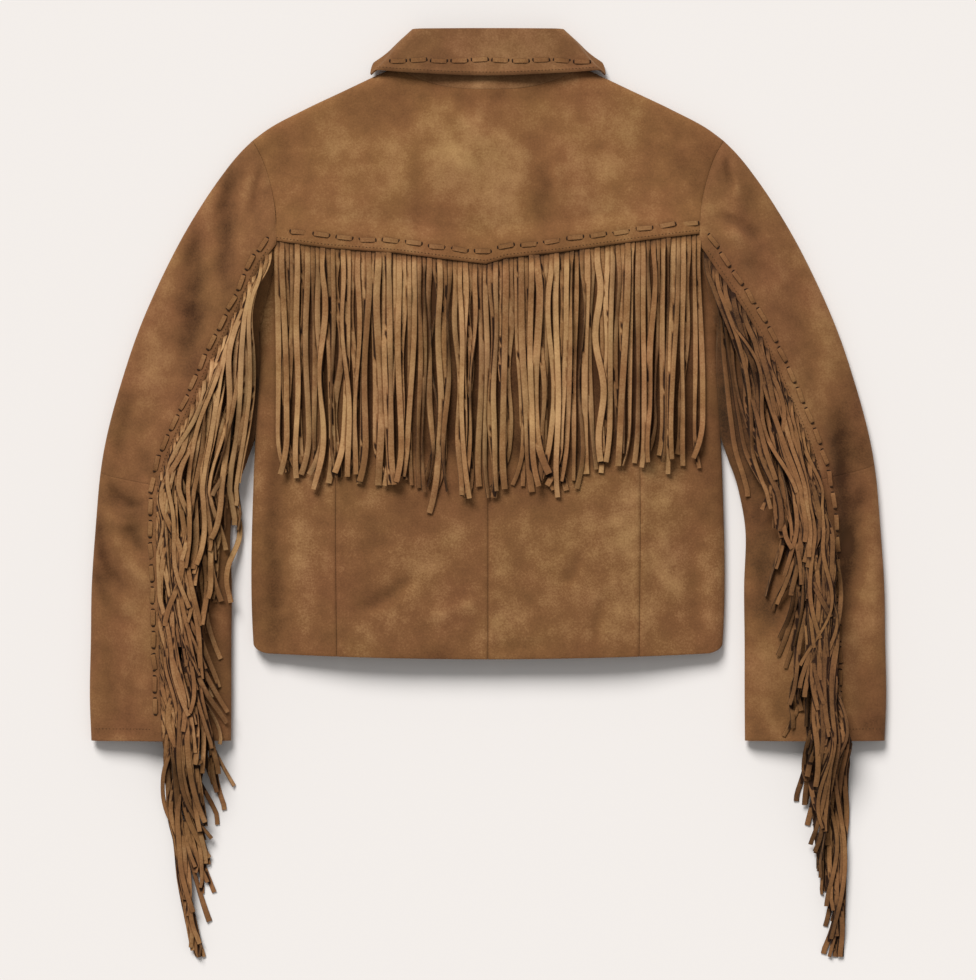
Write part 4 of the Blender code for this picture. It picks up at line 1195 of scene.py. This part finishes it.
# ================================================================ sleeve fringes
# Each is one strip set in the sleeve's back seam and cut into 108 strands about 236 mm long. Laid
# flat, the strands drop off the seam and pile up, three or four deep, crossing, past the cuff.

SLEEVE_STRANDS = 108
FIRST_RING = 0.75
LAST_RING = 13.75
SLEEVE_STRAND_LENGTH = 236.0
LOWEST_TIP_Y = -456.0
ROOT_UNDER_LAP = 2.5
STRIP_UNDER_LAP = 3.5
NARROWER_STRANDS = 0.7
# The pile's inner edge down the sleeve, and its outer edge once it is past the lacing: (y, x).
PILE_INNER = {-1: spline([
    (243.5, 209.7), (190.6, 227), (141.6, 230), (92.6, 232), (53.4, 236), (24, 242), (-5.4, 247),
    (-44.6, 256), (-69, 266), (-103.4, 271), (-132.8, 273), (-181.8, 270), (-230.8, 267),
    (-279.8, 269), (-328.8, 271), (-368, 274), (-402, 278), (-455, 284),
]), 1: spline([
    (243.5, 206.8), (225, 211), (171, 228), (131.8, 236), (77.9, 245), (38.7, 254), (19.1, 262),
    (-5.4, 271), (-54.4, 278), (-103.4, 285), (-152.4, 295), (-201.4, 303), (-260.2, 309),
    (-299.4, 311), (-348.4, 320), (-377.8, 327), (-426.8, 334), (-455, 338),
])}
PILE_OUTER = {-1: spline([
    (-150, 320), (-206, 313), (-240.6, 314), (-280, 313), (-319, 314), (-338.6, 310),
    (-377.8, 306), (-402, 302), (-426.8, 297), (-455, 289),
]), 1: spline([
    (5, 338), (-30, 341), (-64, 343), (-142, 345), (-182, 345), (-215, 350), (-235, 355),
    (-275, 350), (-340, 347), (-403, 347), (-427, 346), (-455, 342),
])}
# Below this y the pile spreads outwards over the seam and lies on the top sleeve too.
PAST_LACING = {-1: -150.0, 1: -5.0}
# How closely the first strands keep to the inner edge, and each pile's own paleness.
TOP_HUGS_BODY = {-1: 0.0, 1: 0.75}
PILE_PALE = {-1: (0.12, 0.18), 1: (-0.11, 0.02)}


def sleeve_fringe(side, word):
    """Each strand starts at the seam and is crowded inwards by those that start below it.

    Its lane is its share of the way from the pile's inner edge (0) to its outer edge (1).
    """
    ground = Ground(150.0, 400.0, -470.0, 300.0)
    ground.take([sleeves[word][2], backs[f"side_{word}"], yoke], side)
    lap = Ground(150.0, 400.0, -470.0, 300.0)
    lap.take(sleeves[word][:2], side)
    below = int(PAST_LACING[side] - lap.y0)
    ground.height[:, :below] = np.maximum(ground.height, lap.height)[:, :below]
    inner, outer = PILE_INNER[side], PILE_OUTER[side]
    flip = np.array([side, 1.0, 1.0])
    k = np.linspace(FIRST_RING, LAST_RING, 700)
    line = sleeve_point(side, k, seam_turn(side, k, -ROOT_UNDER_LAP)) * flip
    steps = lengths_along(line[:, :2])
    roots = np.stack([np.interp(np.linspace(0.0, steps[-1], SLEEVE_STRANDS), steps, line[:, c])
                      for c in range(3)], axis=1)
    first, last = roots[0, 1], roots[-1, 1]
    places = np.arange(SLEEVE_STRANDS)
    clump = sum(rng.normal(0, 0.06) * np.sin(places * wave + rng.random() * 6)
                for wave in (0.3, 0.7, 1.3))
    strands = [None] * SLEEVE_STRANDS
    for i in sorted(places, key=lambda n: -n + rng.normal(0, 7.0)):
        x0, y0, z0 = roots[i]
        length = min(SLEEVE_STRAND_LENGTH + rng.normal(0, 8.0), y0 - LOWEST_TIP_Y)
        s = np.linspace(0.0, 1.0, int(length / STRAND_STEP) + 1)
        gone = length * s
        y = y0 - gone + 1.5 * ease(gone / 8.0)
        oldest = np.minimum(y + SLEEVE_STRAND_LENGTH, first)
        newest = np.maximum(y, last)
        lane = np.clip((oldest - y0) / np.maximum(oldest - newest, 1.0), 0.0, 1.0)
        stray = rng.normal(0, 0.22 if rng.random() < 0.1 else 0.07)
        crowded = rng.uniform(0.5, 1.06)
        crowded += TOP_HUGS_BODY[side] * (1.0 - crowded) * (1.0 - ease(i / 18.0))
        lane = 1.0 - (1.0 - lane) * crowded
        lane = lane + (clump[i] + stray) * ease((gone - 20.0) / 90.0)
        seam_x = np.interp(y, line[::-1, 1], line[::-1, 0]) - 2.0
        past = ease((PAST_LACING[side] - y) / 40.0)
        edge = seam_x * (1 - past) + outer(y) * past
        lane = np.minimum(lane, 1.0 + 0.12 * past)
        settled = inner(y) + lane * (edge - inner(y))
        curl = rng.normal(0, 7.0) * np.clip((s - 0.75) / 0.25, 0, 1) ** 2
        loose = ease((gone - 12.0) / 60.0)
        x = x0 + (settled - x0) * ease(gone / 40.0) + (wander(3.4, s) + curl) * loose
        x = np.minimum(x, seam_x + 1.0 + 60.0 * past + 8.0 * (1 - ease(gone / 15.0)))
        roll = twist(s, [0.2, 0.5, 0.8, 1.2], [0.32, 0.30, 0.22, 0.16]) * ease(gone / 14.0)
        width = STRAND_WIDTH - NARROWER_STRANDS + rng.normal(0, 0.6)
        width = width * (0.75 + 0.25 * ease(gone / 30.0))
        strands[i] = lay_strand(ground, x, y, roll, 0.1, width, z0 + STRIP_RISE, nestle=0.4)
    along = np.linspace(FIRST_RING - 0.1, LAST_RING + 0.1, 160)
    strip = sleeve_point(side, along, seam_turn(side, along, -STRIP_UNDER_LAP))
    strip = strip + np.array([0.0, 0.0, STRIP_RISE])
    inward = sleeve_point(side, along, seam_turn(side, along, 0.0)) - strip
    inward[:, 2] = 0.0
    return fringe(f"sleeve_fringe_{word}_cut", strands, (strip * flip, inward * flip), ground,
                  side, *PILE_PALE[side])


for side, word in SLEEVE_WORDS.items():
    made = sleeve_fringe(side, word)
    fit(made, fringe_suede, "suede_fringe", f"sleeve_fringe_{word}")
    upper, lower, under = sleeves[word]
    lacing, holes, thread, hem = sleeve_trims[word]

# ================================================================ collar
# A folded shirt collar in two pieces: the stand rises from the neck seam, and the fall rolls over
# it. The fall's outer edge is turned, topstitched and laced like the yoke.

COLLAR_ROLL_Y = 456.5
COLLAR_LACE_Y = 424.5
COLLAR_LACE_PITCH = 20.0
COLLAR_STITCH_Y = 412.6
STAND_TOP_HALF = 71.0
STAND_HEIGHT = 2.2
FALL_TOP_HALF = 74.5
FALL_EDGE_HALF = 115.6
FALL_EDGE_Y = 409.4
FALL_EDGE_DROP = 7.0
FALL_END_Y = 426.0
FALL_LIFT = 9.0


def collar_ring(half, turn):
    """Place across a flattened ring, and whether it is in the upper layer."""
    return -half * np.cos(np.pi * turn), np.sin(np.pi * turn) >= 0


def stand_point(v, turn):
    """From the neck seam (0) to just under the roll (1)."""
    half = (NECK_HALF - 0.2) * (1 - v) + STAND_TOP_HALF * v
    x, upper = collar_ring(half, turn)
    share = np.clip(np.abs(x) / half, 0, 1) * NECK_HALF
    y_back = back_neck_y(share) + ARMHOLE_GAP
    y_front = front_neck_y(share) + 2 * ARMHOLE_GAP
    y = np.where(upper, y_back, y_front) * (1 - v) + (COLLAR_ROLL_Y - 4.0) * v
    d = half - np.abs(x)
    own_up = FOLD_EDGE + 7.0 * quarter_round(d) + 4.0 * ease(d / 80.0)
    own_low = STAND_HEIGHT + (FOLD_EDGE - STAND_HEIGHT) * (1 - quarter_round(d))
    blend = ease(v * 1.6)
    up = upper_height(x, y) * (1 - blend) + own_up * blend
    low = (FOLD_EDGE * (1.0 - quarter_round(body_fold_distance(x, y)))) * (1 - blend)
    return stack(x, y, np.where(upper, up, low + own_low * blend))


def fall_edge_y(outward):
    return FALL_EDGE_Y + FALL_EDGE_DROP * outward ** 1.7


def fall_point(v, turn):
    """From the roll (0) to the outer edge (1), outside the stand."""
    half = FALL_TOP_HALF * (1 - v) + FALL_EDGE_HALF * v
    half = half + 1.2 * np.sin(2 * np.pi * np.clip(v, 0, 1))
    x, upper = collar_ring(half, turn)
    outward = np.clip(np.abs(x) / half, 0.0, 1.0)
    low_back = fall_edge_y(outward) - 4.0 * bell(half - np.abs(x), 3.0)
    turned = ease(0.85 + turn / 0.12) * ease(0.85 + (1 - turn) / 0.12)
    low_y = FALL_END_Y + (low_back - FALL_END_Y) * turned
    y = COLLAR_ROLL_Y * (1 - v) + low_y * v
    d = half - np.abs(x)
    rolled = 1.2 * ease((v - 0.86) / 0.1) - 1.6 * bell((1 - v) * 45.0, 2.0)
    creases = (0.7 * np.sin(x / 23.0 + 0.6) + 0.35 * np.sin(x / 9.0 + y / 15.0)) * ease(d / 30.0)
    up = FALL_LIFT + FALL_LIFT * quarter_round(d) + 6.5 * ease(d / 75.0) * v
    up = up + 2.5 * ease(d / 60.0) + v + rolled + creases * ease(v * 3)
    low = FALL_LIFT * (1 - quarter_round(d))
    return stack(x, y, np.where(upper, up, low))


def collar_place(point):
    def place(a, b):
        return point(1 - b, -0.46 + 1.92 * a)

    return place


def collar_tone(x, y, z):
    """Darker along the fall's outer edge."""
    return -0.10 * bell(y - 411.0, 3.0) + 0.04 * np.sin(x / 31.0)


# The collar's suede is a little darker than the panels below it.
collar_suede = suede("brushed split suede, collar", "#40250e", "#734e2e", "#a07850")
stand = cloth("collar_stand_panel", collar_place(stand_point), 150, 26, 1)
fall = cloth("collar_fall_panel", collar_place(fall_point), 190, 34, 1)
for piece, node in ((stand, "collar_stand"), (fall, "collar_fall")):
    # The stand is drawn paler all over, as painted light against the shade under the fall.
    tone_by(piece, collar_tone if piece is fall else lambda x, y, z: 0.08 + 0.0 * x)
    fit(piece, collar_suede, "suede_collar", node)


fall_top = fall_point(*np.meshgrid(np.linspace(0.0, 1.0, 60), np.linspace(0.02, 0.98, 400)))
fall_top = fall_top.reshape(-1, 3)


def on_fall(x, y):
    """The collar's upper surface over a place on it."""
    near = np.hypot(fall_top[:, 0] - x, fall_top[:, 1] - y)
    close = np.argsort(near)[:4]
    return float(np.average(fall_top[close, 2], weights=1.0 / (near[close] + 0.1)))


collar_places = []
for n, x in enumerate(np.arange(-88.0, 93.0, COLLAR_LACE_PITCH)):
    y = COLLAR_LACE_Y + 0.7 * np.sin(1.9 * n)
    rise = (on_fall(x + 6.0, y) - on_fall(x - 6.0, y)) / 12.0
    collar_places.append((np.array([x, y, on_fall(x, y) + 0.45]), (1.0, 0.0, rise),
                          4.0 * np.sin(2.1 * n)))
collar_lacing, collar_holes = laced("collar", collar_places, "suede_collar")
edge_x = np.linspace(-109.0, 109.0, 90)
edge_y = COLLAR_STITCH_Y + FALL_EDGE_DROP * (np.abs(edge_x) / FALL_EDGE_HALF) ** 1.7
edge = np.array([(x, y, on_fall(x, y)) for x, y in zip(edge_x, edge_y)])
collar_stitch = topstitched("collar_topstitch", edge, "suede_collar", 1.0)
for model in (thong_model, hole_model, thread_model):
    bpy.data.objects.remove(model)

# ================================================================ floor, light and camera
# A plain warm white floor under an even sky, with one broad soft light from the upper left, and a
# long lens straight above the jacket.

CARD_DROP = 0.2
SKY_STRENGTH = 0.36
KEY_STRENGTH = 3.6
KEY_SPREAD = 0.5
KEY_FROM = (-0.28, 0.70, 0.65)

bpy.ops.mesh.primitive_plane_add(size=12.0, location=(0.0, 0.0, -CARD_DROP * MM))
floor = bpy.context.object
floor.name = "studio_floor"
# Uncoated card scatters light evenly and has no gloss.
card = bpy.data.materials.new("matt warm white card")
card.use_nodes = True
surface = card.node_tree.nodes["Principled BSDF"].inputs
surface["Base Color"].default_value = linear("#e9e4e0")
surface["Roughness"].default_value = 1.0
surface["Specular IOR Level"].default_value = 0.0
floor.data.materials.append(card)

scene = bpy.context.scene
world = bpy.data.worlds.new("soft studio sky")
world.use_nodes = True
sky = world.node_tree.nodes["Background"].inputs
sky["Color"].default_value = linear("#ffffff")
sky["Strength"].default_value = SKY_STRENGTH
scene.world = world
scene.view_settings.view_transform = "Standard"

bpy.ops.object.light_add(type="SUN", location=(-0.6, 1.4, 1.4))
key = bpy.context.object
key.name = "soft_key_light"
key.data.energy = KEY_STRENGTH
key.data.angle = KEY_SPREAD
key.rotation_euler = Vector(KEY_FROM).to_track_quat("Z", "Y").to_euler()

# VIEW_WIDTH is what the camera sees from side to side at FOCUS_HEIGHT over the floor, in mm.
CAMERA_HEIGHT = 4000.0
CAMERA_Y = 4.4
FOCUS_HEIGHT = 15.0
VIEW_WIDTH = 956.48
SENSOR = 36.0
camera_data = bpy.data.cameras.new("long lens")
camera_data.sensor_fit = "HORIZONTAL"
camera_data.sensor_width = SENSOR
camera_data.lens = SENSOR * (CAMERA_HEIGHT - FOCUS_HEIGHT) / VIEW_WIDTH
camera = bpy.data.objects.new("camera", camera_data)
camera.location = (0.0, CAMERA_Y * MM, CAMERA_HEIGHT * MM)
scene.collection.objects.link(camera)
scene.camera = camera
